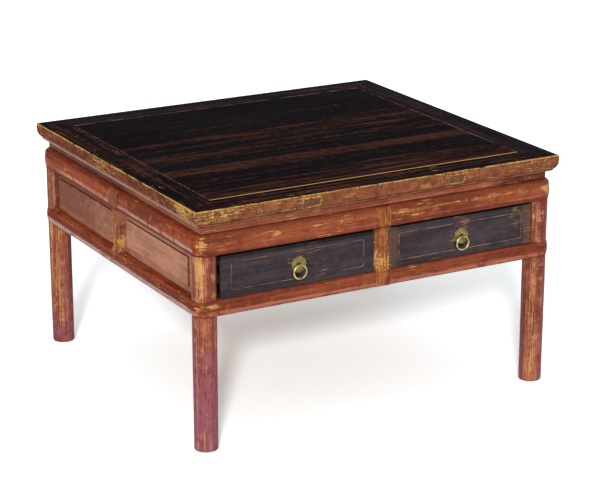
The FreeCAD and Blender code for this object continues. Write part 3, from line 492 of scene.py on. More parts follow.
# how much each side shows wear, the seam to the boards and a painted highlight on the bead; the patches where
# its flank is worn through are given as the place along the side, the width and how much
edgeLooks = {
    "front": {"wear": 0.66, "seam": 1.05, "bead": 0.42, "seed": 1, "finish": "frontEdgeLacquer",
              "patches": [(-300, 70, 0.18), (-158, 40, 0.22), (-40, 50, 0.1), (140, 50, 0.18),
                          (330, 30, 0.08)]},
    "right": {"wear": 0.4, "seam": 0.5, "bead": 0.5, "seed": 4, "finish": "sheenAndShadeEdgeLacquer",
              "patches": [(-220, 60, 0.12), (140, 50, 0.14)]},
    "back": {"wear": 0.36, "seam": 0.52, "bead": 0.5, "seed": 7, "finish": "sheenAndShadeEdgeLacquer",
             "patches": [(-190, 60, 0.12), (60, 50, 0.1), (300, 30, 0.1)]},
    "left": {"wear": 0.69, "seam": 0.56, "bead": 0.92, "seed": 10, "finish": "leftEdgeLacquer",
             "patches": [(-40, 60, 0.36), (300, 50, 0.28), (150, 60, 0.12), (-250, 60, 0.06)]},
}


def mouldingSection():
    # flat top, round arris, straight drop, ovolo and bead, as (outward, up), walked from the inner top edge
    inner, outer, top = topInner, table["legInset"], table["top"]
    arris, gap, beadOut = topSizes["arris"], topSizes["gap"], topSizes["beadOut"]
    return np.concatenate([
        [(inner, top - gap), (inner + gap, top)],
        [(out, top) for out in (inner + 1.8, inner + 5, -12, 0, 10, 16, 20, 23, 25.5)],
        arc((outer - arris, top - arris), arris, 90, 0, 6),
        [(outer, z) for z in (446.0, 443.6, 442.0, 441.0, 439.4, 437.6)],
        arc(topSizes["ovoloCentre"], topSizes["ovolo"], -3.2, -48.3, 12),
        [(beadOut, topSizes["beadTop"]), (beadOut, topUnder + 0.4), (beadOut - 0.4, topUnder)],
        [(0, topUnder), (inner, topUnder)],
    ])


def frameMember(side):
    # the section carried along the side; near an end each point runs on to the mitre, span + outward
    span, look = spans[side], edgeLooks[side]
    section = mouldingSection()
    outs, ups = section.T
    isLong = side in ("front", "back")
    straight = span - topSizes["cornerLength"]
    breaks = [-straight, straight]
    if isLong:
        b, h = battens["place"], battens["half"]
        breaks = [-straight, -b - h, -b + h, b - h, b + h, straight]
    middle, segment = stations(breaks, topSizes["step"])
    middleOut = np.tile(outs, (len(middle), 1))
    if isLong:
        onBatten = (ups < battens["high"]) & (ups > battens["low"]) & (outs > 20)
        middleOut = middleOut - (segment % 2 == 1)[:, None] * onBatten * battens["depth"]
    tail = np.append(np.arange(1, 8) / 8, [0.988, 1.0])
    sunk = shrunk(section, 0.4)
    reach = straight + tail[:, None] * (span + outs - straight)
    endOut = np.tile(outs, (len(tail), 1))
    reach[-1], endOut[-1] = span + sunk[:, 0], sunk[:, 0]
    along = np.vstack([-reach[::-1], np.tile(middle[:, None], (1, len(outs))), reach])
    away = np.vstack([endOut[::-1], middleOut, endOut])
    up = np.tile(ups, (len(along), 1))
    up[0] = up[-1] = sunk[:, 1]
    away = away - 0.25 * (away > 26) * ripple(along, up, 170, 40, span % 7)
    strength = look["wear"] * (0.75 + 0.5 * ripple(along, along * 0, 130, 50, 2.0 + span % 3))
    corner = bell(np.abs(along) - span, 60)
    arrisOut, arrisUp = topSizes["wornArris"]
    toArris = np.hypot(np.maximum(arrisOut - away, 0), np.maximum(arrisUp - up, 0))
    wear = bell(toArris, 1.1) * (strength + 0.2 * corner)
    onFlank = (up < 446.5) & (up > 424)
    patchy = sum(share * bell(along - spot, wide) for spot, wide, share in look["patches"])
    wear = wear + (0.3 * strength + patchy + 0.16 * corner) * onFlank
    if isLong:
        aroundBatten = np.maximum(np.abs(np.abs(along) - b) - 17, 0) + np.maximum(up - 442, 0)
        wear = wear + 0.3 * strength * bell(aroundBatten, 4) * onFlank
    isTop, onEdge = up > 449, away > 18
    fields = {
        "grain": grainOf(along, lengthAround(section)[None, :], look["seed"]), "wear": wear,
        "seam": look["seam"] * bell(away - topInner, 1.5) * isTop,
        # painted shade in the step over the bead
        "dirt": 0.9 * bell(up - topSizes["beadTop"] - 0.1, 0.9) * onEdge,
        # painted highlight along the bead's lip
        "pale": look["bead"] * unit((429 - up) / 3) * onEdge,
        "rub": isTop * (0.06 * ripple(along, away, 240, 40, 4.2) + 0.02 * (side in ("front", "left"))),
    }
    makePiece("top_frame_" + side, onSide(side, along, away, up), fields, look["finish"])


for side in spans:
    frameMember(side)

boardSizes = {"openX": 323.5, "openY": 293.5, "gap": 0.6, "joint": 0.1, "arris": 0.6, "under": 441.0,
              "cup": 0.22}
boardNames = ["front", "middle", "back"]
# how much the light lines show at places from the front to the back
rubPlaces = [-293, -258, -235, -200, -150, -138, -104, -92, -60, -42, -22, -10, 30, 62, 85, 112, 170, 293]
rubShares = [0.1, 0.08, 0.02, -0.05, -0.04, 0.08, 0.08, -0.04, -0.07, 0.02, 0.09, -0.01, -0.02, 0.05, 0.05,
             -0.05, -0.08, -0.14]
# rubbed patches on the boards: x, y, length, width, how much
boardPatches = [(-76, 76, 34, 12, 0.5), (235, 18, 60, 16, 0.22), (-250, -28, 70, 7, 0.2),
                (125, -250, 40, 10, 0.3), (-220, 80, 60, 14, 0.14), (200, -118, 90, 14, 0.12)]


def easedLine(low, high, count):
    # from edge to edge, each edge given twice, with close steps beside it and even ones between
    eases = np.array([0, 0.5, 2.0, 6.0])
    inner = np.linspace(low + 14, high - 14, count)
    return np.concatenate([[low], low + eases, inner, high - eases[::-1], [high]])


def topBoard(index):
    # a board along X: a flat section with eased arrises, its upper face waving by a hair
    size = boardSizes
    low = -size["openY"] + 2 * size["openY"] * index / 3
    high = low + 2 * size["openY"] / 3
    low += size["gap"] if index == 0 else size["joint"]
    high -= size["gap"] if index == 2 else size["joint"]
    reach = size["openX"] - size["gap"]
    edge, under = table["top"] - size["arris"], size["under"]
    across = np.append(easedLine(low, high, 18), [high, low])
    up = np.concatenate([[edge], np.full(len(across) - 4, table["top"]), [edge, under, under]])
    grid, side = np.meshgrid(easedLine(-reach, reach, 60), across, indexing="ij")
    rise = np.tile(up, (len(grid), 1))
    isTop = rise > edge
    rise[0], rise[-1] = np.minimum(rise[0], edge), np.minimum(rise[-1], edge)
    rise = rise - isTop * size["cup"] * ripple(grid, side, 300, 90, index + 1.0)
    fromEnd = reach - np.abs(grid)
    fromSide = np.minimum(side - low, high - side)
    outerSide = {0: side - low, 1: np.full(side.shape, 99.0), 2: high - side}[index]
    outerSeam = {0: 1.05, 1: 0.0, 2: 0.54}[index] * bell(outerSide, 1.4)
    patches = sum(share * near(grid, side, (x, y), long, wide) for x, y, long, wide, share in boardPatches)
    rub = np.interp(side, rubPlaces, rubShares) + 0.03 * ripple(grid, side, 260, 34, 2.4)
    pale = np.interp(side, [-150, -141, -136, -106, -101, -92], [0, 0.1, 0.48, 0.52, 0.6, 0])
    fields = {
        "wear": 0.14 * bell(outerSide, 12) * (index == 0) + 0.06 * bell(fromEnd, 14),
        "seam": np.maximum(outerSeam, 0.5 * bell(fromEnd, 1.4)),
        "dirt": 0.35 * bell(fromSide, 0.8) * (np.abs(side) < 200),
        "rub": rub + 0.3 * patches,
        "pale": pale + 0.5 * bell(side + 25, 2.2) * (grid < 40) + patches,
    }
    fields = {key: values * isTop for key, values in fields.items()}
    fields["grain"] = grainOf(grid, side, 20 + 3 * index)
    rows = np.stack([grid, side, rise], axis=-1)
    makePiece("top_board_" + boardNames[index], rows, fields, "boardLacquer")


for index in range(3):
    topBoard(index)
print("top made")


# The waist: a thin board under each side of the top

waistSizes = {"inner": 1.0, "outer": 11.5, "ease": 0.5}


def waistBoard(side):
    # an upright strip whose ends run on to the mitre
    inner, outer, ease = waistSizes["inner"], waistSizes["outer"], waistSizes["ease"]
    face = np.linspace(topUnder - 0.6, railTop + 0.6, 6)
    section = np.array([(inner, topUnder), (outer - ease, topUnder)] + [(outer, z) for z in face] +
                       [(outer - ease, railTop), (inner, railTop)], float)
    share = np.linspace(-1, 1, 90)
    outs, ups = section.T
    along = share[:, None] * (spans[side] + outs[None, :])
    away = np.tile(outs, (len(share), 1)) - 0.2 * ripple(along, along * 0, 150, 60, 5.0) * (outs > 11)
    up = np.tile(ups, (len(share), 1))
    # painted shade under the top's overhang: heavy on the left, back and right, rising at the right end of
    # the front, and lightening towards the front on the left
    shade = np.full(along.shape, {"left": 0.72, "back": 0.7, "right": 0.6}.get(side, 0.05))
    if side == "front":
        shade = shade + 0.8 * unit((along / spans[side] - 0.62) / 0.16)
    if side == "left":
        shade = shade - 0.06 - 0.66 * unit(1.5 * along / spans[side])
    # painted shade in the creases over the rail and under the top
    dirt = 0.85 * bell(up - 402.6, 1.6) + 0.55 * bell(up - 418.6, 1.4)
    wear = (0.14 + 0.12 * ripple(along, up, 90, 40, 3.0)) * (0.4 if side == "left" else 1.0)
    fields = {"grain": grainOf(along, lengthAround(section)[None, :], 31 + spans[side] % 5), "wear": wear,
              "dirt": np.minimum(dirt, 1), "shade": shade}
    makePiece("waist_" + side, onSide(side, along, away, up), fields, "waistLacquer")


for side in spans:
    waistBoard(side)
print("waist made")


# The rails: a crowned stick whose ends turn round the legs and meet in a mitre

railSizes = {"out": 24.5, "crown": 1.0, "neck": 13.15, "back": -1.5, "upperShoulder": 7.0,
             "lowerShoulder": 4.0, "arris": 4.0, "mitre": 0.4}
railLevels = {"upper": (openTop, railTop), "lower": (apronLow, openLow)}
railWear = {
    ("upper", "front"): 0.46, ("lower", "front"): 0.34, ("upper", "left"): 0.4, ("lower", "left"): 0.42,
    ("upper", "right"): 0.32, ("lower", "right"): 0.32, ("upper", "back"): 0.3, ("lower", "back"): 0.3,
}
# worn patches: place along the side, height, length, width, how much
railPatches = {
    ("upper", "front"): [(-366, 386, 9, 12, 0.42), (-268, 393, 9, 4, 0.3), (-222, 388, 13, 4, 0.32),
                         (-80, 389, 26, 3, 0.26), (60, 382, 24, 5, 0.2), (356, 384, 9, 12, 0.36)],
    ("lower", "front"): [(-348, 268, 12, 7, 0.4), (10, 275, 10, 4, 0.2), (-368, 270, 6, 10, 0.2)],
    ("upper", "left"): [(336, 386, 6, 12, 0.3)], ("lower", "left"): [(336, 270, 6, 9, 0.25)],
}
# how much painted sheen, as a paler band, runs along the lower part of the face
railSheen = {"front": 0.5, "left": 0.95, "right": 0.6, "back": 0.6}


def crownedFace(level, out):
    # shoulder, a crown that stands out a little, lower arris, as (outward, up)
    low, high = railLevels[level]
    shoulder, arris, crown = railSizes[level + "Shoulder"], railSizes["arris"], railSizes["crown"]
    flat = out - crown
    return np.concatenate([
        arc((flat - shoulder, high - shoulder), shoulder, 90, 0, 8),
        bulge((flat, high - shoulder - 0.4), (flat, low + arris + 0.4), crown, 10),
        arc((flat - arris, low + arris), arris, 0, -90, 7),
    ])


def rail(level, side):
    # along = base + out * sin(turn), away = out * cos(turn); the turn is 0 until the leg's axis, then to 45
    span = spans[side]
    low, high = railLevels[level]
    face = crownedFace(level, railSizes["out"])
    section = np.concatenate([[(0, high)], face, [(0, low)]])
    neck, seat = railSizes["neck"], span - railSizes["neck"]
    turns = np.radians(np.append(np.linspace(0, 44.4, 13), 45.0))
    base = np.concatenate([np.full(14, -span), [-span, -seat], np.linspace(-seat, seat, 84), [seat, span],
                           np.full(14, span)])
    turn = np.concatenate([-turns[::-1], np.zeros(88), turns])
    back = np.concatenate([neck / np.cos(turns[::-1]), [neck, neck], np.full(84, railSizes["back"]),
                           [neck, neck], neck / np.cos(turns)])
    outs, ups = np.tile(section[:, 0], (len(base), 1)), np.tile(section[:, 1], (len(base), 1))
    walked = lengthAround(section)[None, :]
    lengthwise = (base + railSizes["out"] * turn)[:, None]
    outs = outs - 0.3 * ripple(lengthwise, ups, 140, 70, span % 4 + low % 3)
    for row in (0, -1):
        outs[row], ups[row] = shrunk(section, railSizes["mitre"]).T
    outs[:, 0], outs[:, -1] = back, back
    along = base[:, None] + outs * np.sin(turn)[:, None]
    away = outs * np.cos(turn)[:, None]
    strength = railWear[level, side] * (0.7 + 0.6 * ripple(lengthwise, ups * 0, 120, 50, low % 5))
    middle = 385.0 if level == "upper" else 268.0
    wear = 0.55 * strength * (0.4 + 0.5 * bell(ups - middle - 3, 7) + 0.3 * bell(ups - high + 1.5, 2.2))
    if (level, side) == ("upper", "front"):
        wear = wear + 0.32 * bell(ups - 390, 2.4) * unit((lengthwise - 10) / 30)
    for spot, height, wide, tall, share in railPatches.get((level, side), []):
        wear = wear + share * near(lengthwise, ups, (spot, height), wide, tall)
    turned = np.abs(np.sin(turn))[:, None]
    wear = wear + 0.22 * turned * (0.5 + ripple(lengthwise, ups, 40, 16, 1.0))
    # painted shade on the lower rail's top ledge, on the upper rail's top beside the waist and along each
    # rail's underside; a dark joint at the mitre
    ledge = unit((11 - outs) / 3) * (ups > high - 0.5) * (level == "lower")
    beside = unit((13.5 - outs) / 2) * (ups > high - 0.5) * (level == "upper")
    under = 0.8 * (np.abs(ups - low) < 0.4)
    corner = 0.5 * bell(np.abs(turn) - np.radians(45), 0.03)[:, None]
    dirt = 0.8 * ledge + 0.9 * beside + under + corner
    # painted sheen: a paler band low on the face, fading where the rail turns round the leg
    band = railSheen[side]
    if level == "upper":
        pale = 0.62 * band * bell(ups - 374, 4.6)
        pale = pale * (1.08 + 0.22 * np.clip(lengthwise / span, -1, 1)) if side == "left" else pale
        # painted shade under the waist, fading towards the front on the left, and along the face's lower edge
        above = 0.8 - 0.5 * unit(lengthwise / span) if side == "left" else 0.5
        shade = above * bell(ups - 399, 4.5) + 0.5 * (ups < 369)
    else:
        pale = band * 1.5 * bell(ups - 259.0, 5.0)
        # darker on the front's right half, and on the sides in the middle of the face, more towards the back
        shade = 0.4 * (lengthwise > 15) + 0 * ups
        if side != "front":
            shade = (0.65 + 0.3 * unit(-lengthwise / span)) * bell(ups - 270, 6)
    fields = {"grain": grainOf(lengthwise, walked, 40 + low % 9 + span % 3), "wear": np.minimum(wear, 0.8),
              "dirt": np.minimum(dirt, 1), "pale": pale * unit(1 - 1.4 * turned), "shade": shade}
    makePiece(f"{level}_rail_{side}", onSide(side, along, away, ups), fields,
              "frontRailLacquer" if side == "front" else "sideRailLacquer")


for side in spans:
    for level in railLevels:
        rail(level, side)
print("rails made")


# The struts: a crowned neck between two heads that lap over the rails

strutSizes = {"half": 15.0, "crown": 3.5, "seat": 14.2, "headOut": 26.3, "cove": 8.0,
              "coveStart": 23.15, "headFace": 25.3, "flare": 5.0, "drop": 16.0, "ease": 1.1}


def strut(side):
    # rings at heights; the front of a ring is the head's face or the neck's crown, joined by a cove
    panelled = side != "front"
    half, seat = strutSizes["half"], strutSizes["seat"]
    lowerFace, upperFace = (crownedFace(level, strutSizes["headOut"])[::-1].T for level in ("lower", "upper"))
    tip = openLow - strutSizes["drop"] if panelled else apronLow
    coveLow, coveHigh = openLow + strutSizes["cove"], openTop - strutSizes["cove"]
    heights = np.concatenate([
        np.linspace(tip, tip + 4.2, 6), np.linspace(tip + 5, openLow, 8), np.linspace(openLow, coveLow, 9),
        np.linspace(coveLow + 2, coveHigh - 2, 22), np.linspace(coveHigh, openTop, 9),
        np.linspace(openTop, railTop - 8, 10), np.linspace(railTop - 7, railTop, 9),
    ])
    # 0 is the lower head, 4 the upper one
    part = np.repeat([0, 0, 1, 2, 3, 4, 4], [6, 8, 9, 22, 9, 10, 9])
    isHead = (part == 0) | (part == 4)
    flatLow = np.interp(heights, lowerFace[1], lowerFace[0])
    flatHigh = np.interp(heights, upperFace[1], upperFace[0])
    toHead = unit(np.maximum(coveLow - heights, heights - coveHigh) / strutSizes["cove"])
    step = strutSizes["headFace"] - strutSizes["coveStart"]
    bend = (step ** 2 + strutSizes["cove"] ** 2) / (2 * step)
    reach = strutSizes["cove"] * toHead
    cove = strutSizes["coveStart"] + bend - np.sqrt(bend ** 2 - reach ** 2)
    middle = np.where(part == 0, flatLow, np.where(part == 4, flatHigh, cove))
    crown = np.where(isHead, 0.0, 1 - toHead)
    wide = np.full(len(heights), half)
    if panelled:
        wide = np.where(part == 0, half * np.clip((heights - tip) / strutSizes["drop"], 0.02, 1), wide)
        flare = strutSizes["flare"] * (heights - openTop) / (railTop - openTop)
        wide = np.where(part == 4, half + flare, wide)
    back = np.where(isHead, seat, railSizes["back"])
    spread = np.sin(np.linspace(-np.pi / 2, np.pi / 2, 27))
    across = wide[:, None] * spread[None, :]
    fromEdge = wide[:, None] - np.abs(across)
    ease = np.minimum(strutSizes["ease"], wide * 0.5)[:, None]
    eased = ease - np.sqrt(np.maximum(ease ** 2 - np.maximum(ease - fromEdge, 0) ** 2, 0))
    front = middle[:, None] - crown[:, None] * strutSizes["crown"] * (across / half) ** 2 - eased
    along = np.hstack([-wide[:, None], across, wide[:, None]])
    away = np.hstack([back[:, None], front, back[:, None]])
    up = np.tile(heights[:, None], (1, along.shape[1]))
    edge = bell(np.hstack([wide[:, None] * 0, fromEdge, wide[:, None] * 0]), 2.2)
    lowWear = 0.3 if side == "front" else 0.12
    wear = 0.2 + 0.06 * edge + lowWear * bell(up - 300, 16) + 0.12 * ripple(up, along, 60, 20, 4.0)
    if side == "left":
        wear = wear + 0.24 * near(along, up, (12, 302), 5.5)
        wear = wear + 0.16 * bell(along + 5, 7) * (up > 290) * (up < openTop)
    # painted shade on the hidden back faces; dark joints at the tip and along the heads' edges
    dirt = 0.7 * bell(up - tip, 1.0) + 0.8 * (away < back[:, None] + 0.5)
    onHead = (up > openTop) | (up < openLow)
    dirt = dirt + 0.3 * edge * onHead
    wear = wear - 0.05 * (up > openTop)
    # on the neck, a band of painted sheen and, past it, painted shade on the flank turned from the light; the
    # left strut has the painted sheen on that flank instead, and darker heads
    pale = 0.16 * bell(along - 8, 4) * (1 - onHead)
    shade = 0.6 * unit((along - 9) / 4) * (1 - onHead)
    if side == "left":
        pale, shade = 0.5 * unit((along - 8) / 5) * (1 - onHead), 0.45 * onHead
    fields = {"grain": grainOf(up, along, 60 + spans[side] % 6), "wear": wear, "dirt": np.minimum(dirt, 1),
              "pale": pale, "shade": shade}
    makePiece("strut_" + side, onSide(side, along, away, up), fields, "strutLacquer")


for side in spans:
    strut(side)
print("struts made")


# The legs: round shaft and drum, with a square neck inside each pair of rails

legSizes = {"radius": 22.3, "foot": 21.7, "round": 2.4, "neck": 13.0}
legPlaces = {
    "front_left": {"x": -1, "y": -1, "streak": -130, "low": 215, "high": 400, "wide": 20},
    "front_right": {"x": 1, "y": -1, "streak": -134, "low": -30, "high": 235, "wide": 26},
    "back_left": {"x": -1, "y": 1, "streak": -128, "low": 30, "high": 250, "wide": 18},
    "back_right": {"x": 1, "y": 1, "streak": 40, "low": 60, "high": 240, "wide": 18},
}


def leg(name):
    # rings up the axis: circle of the height's radius, or the square r = neck / max(|cos|, |sin|)
    look, foot, footRound = legPlaces[name], legSizes["foot"], legSizes["round"]
    angles = np.linspace(-np.pi, np.pi, 72, endpoint=False)
    bend = np.radians(np.linspace(0, 90, 6))
    shaft = np.linspace(footRound + 4, apronLow, 34)
    heights = np.concatenate([footRound * (1 - np.cos(bend)), shaft, [apronLow, openLow, openLow],
                              np.linspace(285, 361, 14), [openTop, openTop, railTop]])
    # a radius of 0 stands for the square neck
    radii = np.concatenate([foot - footRound + footRound * np.sin(bend),
                            foot + (legSizes["radius"] - foot) * unit(shaft / 200),
                            [0, 0], np.full(16, legSizes["radius"]), [0, 0]])[:, None]
    square = legSizes["neck"] / np.maximum(np.abs(np.cos(angles)), np.abs(np.sin(angles)))
    turned = angles[None, :] + np.zeros((len(heights), 1))
    degrees, around = np.degrees(turned), turned * 22
    up = np.tile(heights[:, None], (1, len(angles)))
    radius = np.where(radii > 0, radii, square[None, :])
    radius = radius - 0.3 * ripple(up, around, 160, 60, look["streak"] % 7) * (radii > 21)

    def apart(angle):
        # how far round from this angle, in degrees
        return np.abs((degrees - angle + 180) % 360 - 180)

    inRange = unit((up - look["low"]) / 25) * unit((look["high"] - up) / 25)
    worn = bell(apart(look["streak"]), look["wide"]) * inRange
    wear = 0.24 * worn + 0.1 + 0.14 * ripple(up, around, 90, 30, 6.0)
    # darker lines where the rails meet the leg, and at the foot
    dirt = 0.3 * bell(up - 252.6, 1.1) + 0.25 * bell(up - 282.5, 1.0) + 0.25 * bell(up - 363.5, 1.0)
    dirt = dirt + 0.3 * bell(up, 2.0)
    # painted highlights: a column down each leg, with more on the lit side of the front left and back left
    # legs
    pale = 0.3 * bell(degrees + 100, 16) * (0.4 + ripple(up, around, 150, 60, 1.2))
    if name == "front_left":
        wear = wear + 0.42 * near(degrees, up, (-138, 350), 26, 16.25)
        wear = wear + 0.3 * near(degrees, up, (-142, 318), 20, 33.33)
        pale = pale + 0.5 * bell(degrees + 160, 16)
    if name == "back_left":
        wear = wear + 0.32 * bell(degrees + 166, 14) * (up > 60) - 0.12 * (up > 280)
        # painted shadow of the table on the inner side of the back left leg's drum, and painted shade on the
        # rest of the leg above the lower rail
        reveal = unit((degrees + 131) / 6) * (turned < 1) * (up > openLow) * (up < openTop)
        dirt = dirt + 0.72 * reveal + 0.42 * (up > openLow) * (1 - reveal)
        pale = pale + 0.9 * near(degrees, up, (-137, 320), 7, 70)
    # painted shade: purple-pink low down and round the sides turned away from the front left, less on the
    # drums and where worn
    lowDown = {"front_left": 0.75, "front_right": 0.25}.get(name, 0.4) * unit(1.1 - up / 230)
    inner = (0.3 if name.startswith("front") else 0.1) * unit((apart(-115) - 30) / 40)
    shade = lowDown + inner + 0.3 * ripple(up, around, 260, 70, 3.1) - 0.4 * (up > 260) - 0.4 * worn
    x, y = look["x"] * legX + radius * np.cos(turned), look["y"] * legY + radius * np.sin(turned)
    rub = worn * (0.45 if name == "front_right" else 0.28)
    fields = {"grain": grainOf(up, around, 70 + look["streak"] % 5), "wear": wear, "shade": unit(shade),
              "dirt": np.minimum(dirt, 1), "pale": pale, "rub": rub}
    makePiece("leg_" + name, np.stack([x, y, up], axis=-1), fields, "legLacquer")


for name in legPlaces:
    leg(name)
print("legs made")


# The side panels: a sloping margin round a raised field

# (inset, outward) from the back round the rim, up the margin and over the field
panelSteps = [(0.1, 4.0), (0.1, 7.9), (0.4, 8.05), (3.0, 8.4), (7.0, 9.0), (11.0, 9.55), (13.4, 9.9),
              (14.0, 10.05), (14.3, 12.2), (14.7, 13.3)]
panelSteps += [(inset, 13.5) for inset in (15.4, 17.5, 22, 30, 38)]
panelPlaces = {
    "left_front": ("left", 1), "left_back": ("left", -1), "right_front": ("right", -1),
    "right_back": ("right", 1), "back_left": ("back", 1), "back_right": ("back", -1),
}


def rectangleRing(left, right, low, high, radius, perEdge=14, perCorner=4):
    # a rectangle with rounded corners as (across, up), always with the same count of points
    xs, zs = (left + radius, right - radius), (low + radius, high - radius)
    corners = [arc((x, z), radius, angle, angle + 90, perCorner) for x, z, angle in (
        (xs[1], zs[1], 0), (xs[0], zs[1], 90), (xs[0], zs[0], 180), (xs[1], zs[0], 270))]
    parts = []
    for corner, after in zip(corners, corners[1:] + corners[:1]):
        parts += [corner, np.linspace(corner[-1], after[0], perEdge + 2)[1:-1]]
    return np.concatenate(parts)


def nested(steps, outline):
    # for steps (inset, out), the outline at each inset: across, out, up and the inset of every point
    rings = np.array([outline(inset) for inset, out in steps])
    inset, out = np.array(steps, float).T[:, :, None] + np.zeros(rings.shape[1])
    return rings[..., 0], out, rings[..., 1], inset


def panel(name):
    # nested rectangles between the strut and the leg
    side, end = panelPlaces[name]
    low, high = sorted([end * strutSizes["half"], end * (spans[side] - legSizes["radius"])])

    def outline(inset):
        corner = 0.3 if inset < 14 else 1.2
        return rectangleRing(low + inset, high - inset, openLow + inset, openTop - inset, corner)

    along, away, up, inset = nested(panelSteps, outline)
    away = away - 0.1 * (away > 13) * ripple(along, up, 180, 50, 3.0 + end)
    # painted shade: darker on the panels further from the light, deepening towards the back on the left back
    # panel; on the margin darker at the top under the rail and lighter at its foot
    far = {"left_front": 0.0, "left_back": 0.48, "right_front": 0.2, "right_back": 0.3}.get(name, 0.3)
    shade = far + 0.42 * unit((-along - 60) / 190) * (name == "left_back")
    shade = shade + (0.25 * (up > 330) - 0.45 * (up < 300)) * (inset < 13.5)
    wear = 0.3 * bell(inset - 14.9, 1.2) + 0.12 + 0.1 * ripple(along, up, 90, 40, 2.0)
    wear = wear + 0.14 * bell(inset - 12.0, 1.6)
    # painted shade round the foot of the raised field and at the rim
    dirt = 0.95 * bell(inset - 14.1, 0.7) + 0.6 * bell(inset, 1.4)
    pale = 0.4 * (inset > 15) * ripple(along, up, 160, 90, 5.2) * (1 - far)
    fields = {"grain": grainOf(along, up, 80 + 3 * end + spans[side] % 4), "wear": wear, "shade": shade,
              "pale": pale, "dirt": np.minimum(dirt, 1)}
    makePiece("panel_" + name, onSide(side, along, away, up), fields, "panelLacquer")


for name in panelPlaces:
    panel(name)
print("panels made")


# The drawers: lacquered fronts with a scribed line, plates and rings

frontSizes = {"middle": 171.6, "half": 155.1, "low": 282.3, "high": 359.5, "face": 338.0, "back": 322.0,
              "arris": 1.2, "line": 12.5, "lineSide": 20.0, "corner": 5.0}
drawers = {"left": -1, "right": 1}


def drawerFront(hand):
    # nested rectangles (inset, depth behind the face): over the arris, down the scribed line and in
    end, size = drawers[hand], frontSizes
    x, line, arris = end * size["middle"], size["line"], size["arris"]
    thick = size["face"] - size["back"]
    bend = np.radians(np.linspace(0, 90, 5))
    steps = [(0, thick), (0, thick / 2)]
    steps += [(arris * (1 - math.cos(b)), arris * (1 - math.sin(b))) for b in bend]
    steps += [(inset, 0) for inset in (2.5, 5, 8, 10, line - 0.8)]
    steps += [(line, 0.05), (line + 0.5, 0.6), (line + 1.1, 0.6), (line + 1.6, 0.05)]
    steps += [(inset, 0) for inset in (line + 2.4, 18, 21, 24, 27, 30, 33, 35.5, 37.2)]

    def outline(inset):
        corner = 0.5 if inset < line - 2 else max(size["corner"] - (inset - line) * 0.5, 1.0)
        sideways = inset + (size["lineSide"] - line) * min(inset / (line - 1), 1)
        return rectangleRing(x - size["half"] + sideways, x + size["half"] - sideways, size["low"] + inset,
                             size["high"] - inset, corner, 64, 6)

    across, depth, up, inset = nested(steps, outline)
    y = depth - size["face"] + 0.06 * ripple(across, up, 190, 60, 2.0 + end) * (depth < 0.1)
    seam = {"left": 0.66, "right": 0.74}[hand] * bell(inset - line - 0.8, 0.75)
    seam = seam * (0.7 + 0.6 * ripple(across, up, 70, 30, 4.0 + end))
    beside = across - x
    wear = 0.16 * bell(inset - 0.7, 1.0) + 0.06 * ripple(across, up, 70, 30, 1.0)
    wear = wear + 0.4 * near(beside, up, (-14, 322), 18) + 0.38 * near(beside, up, (4.286, 350), 15.714, 11)
    wear = wear + (0.22 * unit((np.abs(beside) - 138) / 12) if hand == "right" else 0)
    shade = (0.5 * unit((np.abs(beside) - 132) / 10) + 0.24) * (hand == "right")
    pale = 0.1 * ripple(across, up, 150, 60, 3.0 + end)
    # painted shadow of the upper rail across the top of the front, painted shade on its edges, and the pull
    # ring's painted shadow beside it
    dirt = 0.62 * unit((up - 350) / 4) * (1.0 if hand == "left" else 0.6) + 0.5 * (inset < 0.1)
    dirt = dirt + 1.3 * near(beside, up, (-4, 307), 10)
    fields = {"grain": grainOf(across, up, 90 + end), "wear": wear, "seam": seam, "dirt": np.minimum(dirt, 1),
              "shade": shade, "pale": pale}
    makePiece(f"drawer_{hand}_front", np.stack([across, y, up], axis=-1), fields,
              "drawerLacquer", "drawer_" + hand, "drawerFront" + hand.title())


# the plate's (radius, stand-off) from the back rim over the bevel to the hole
plateHeight = 320.9
plateSteps = [(14.2, 0.0), (15.0, 0.15), (15.0, 0.7), (14.6, 1.05), (13.9, 1.1), (13.3, 0.8), (12.7, 0.75),
              (10.5, 1.15), (8.0, 1.5), (5.5, 1.8), (4.2, 1.95), (3.4, 1.7), (2.6, 1.5), (0.6, 1.5)]
ringSizes = {"radius": 12.6, "wire": 1.9, "out": 343.6, "up": 308.3}


def plate(hand):
    # a disc: the steps turned about the staple
    x = drawers[hand] * frontSizes["middle"]
    angles = np.linspace(0, 2 * np.pi, 64, endpoint=False)[None, :]
    radius, off = np.array(plateSteps).T[:, :, None]
    places = np.stack([x + radius * np.cos(angles), -frontSizes["face"] - off + 0 * angles,
                       plateHeight + radius * np.sin(angles)], axis=-1)
    dirt = np.interp(radius, [0, 3.0, 4.5, 12.4, 13.2, 14.0, 15], [1, 0.9, 0.2, 0.15, 0.7, 0.0, 0.6])
    makePiece("plate_" + hand, places, {"grain": grainOf(angles * 10, radius, 3), "dirt": dirt},
              "plateBrass", "drawer_" + hand, "pullPlate" + hand.title())


def pullRing(hand):
    # a wire whose circle of centres hangs from the staple: centre + (R + r cos) and r sin
    x = drawers[hand] * frontSizes["middle"]
    around = np.linspace(0, 2 * np.pi, 72, endpoint=False)[:, None]
    over = np.linspace(0, 2 * np.pi, 18, endpoint=False)[None, :]
    wire = ringSizes["wire"] * (1 - 0.1 * bell(around - np.pi / 2, 0.35))
    reach = ringSizes["radius"] + wire * np.cos(over)
    places = np.stack([x + reach * np.cos(around), -ringSizes["out"] + wire * np.sin(over),
                       ringSizes["up"] + reach * np.sin(around)], axis=-1)
    fields = {"grain": grainOf(around * ringSizes["radius"], over * ringSizes["wire"], 5),
              # painted shade on the inner side of the wire
              "dirt": 0.45 * bell(np.cos(over) + 1, 0.5)}
    makePiece("ring_" + hand, places, fields, "ringBrass", "ring_" + hand, "pullRing" + hand.title(),
              looped=True)


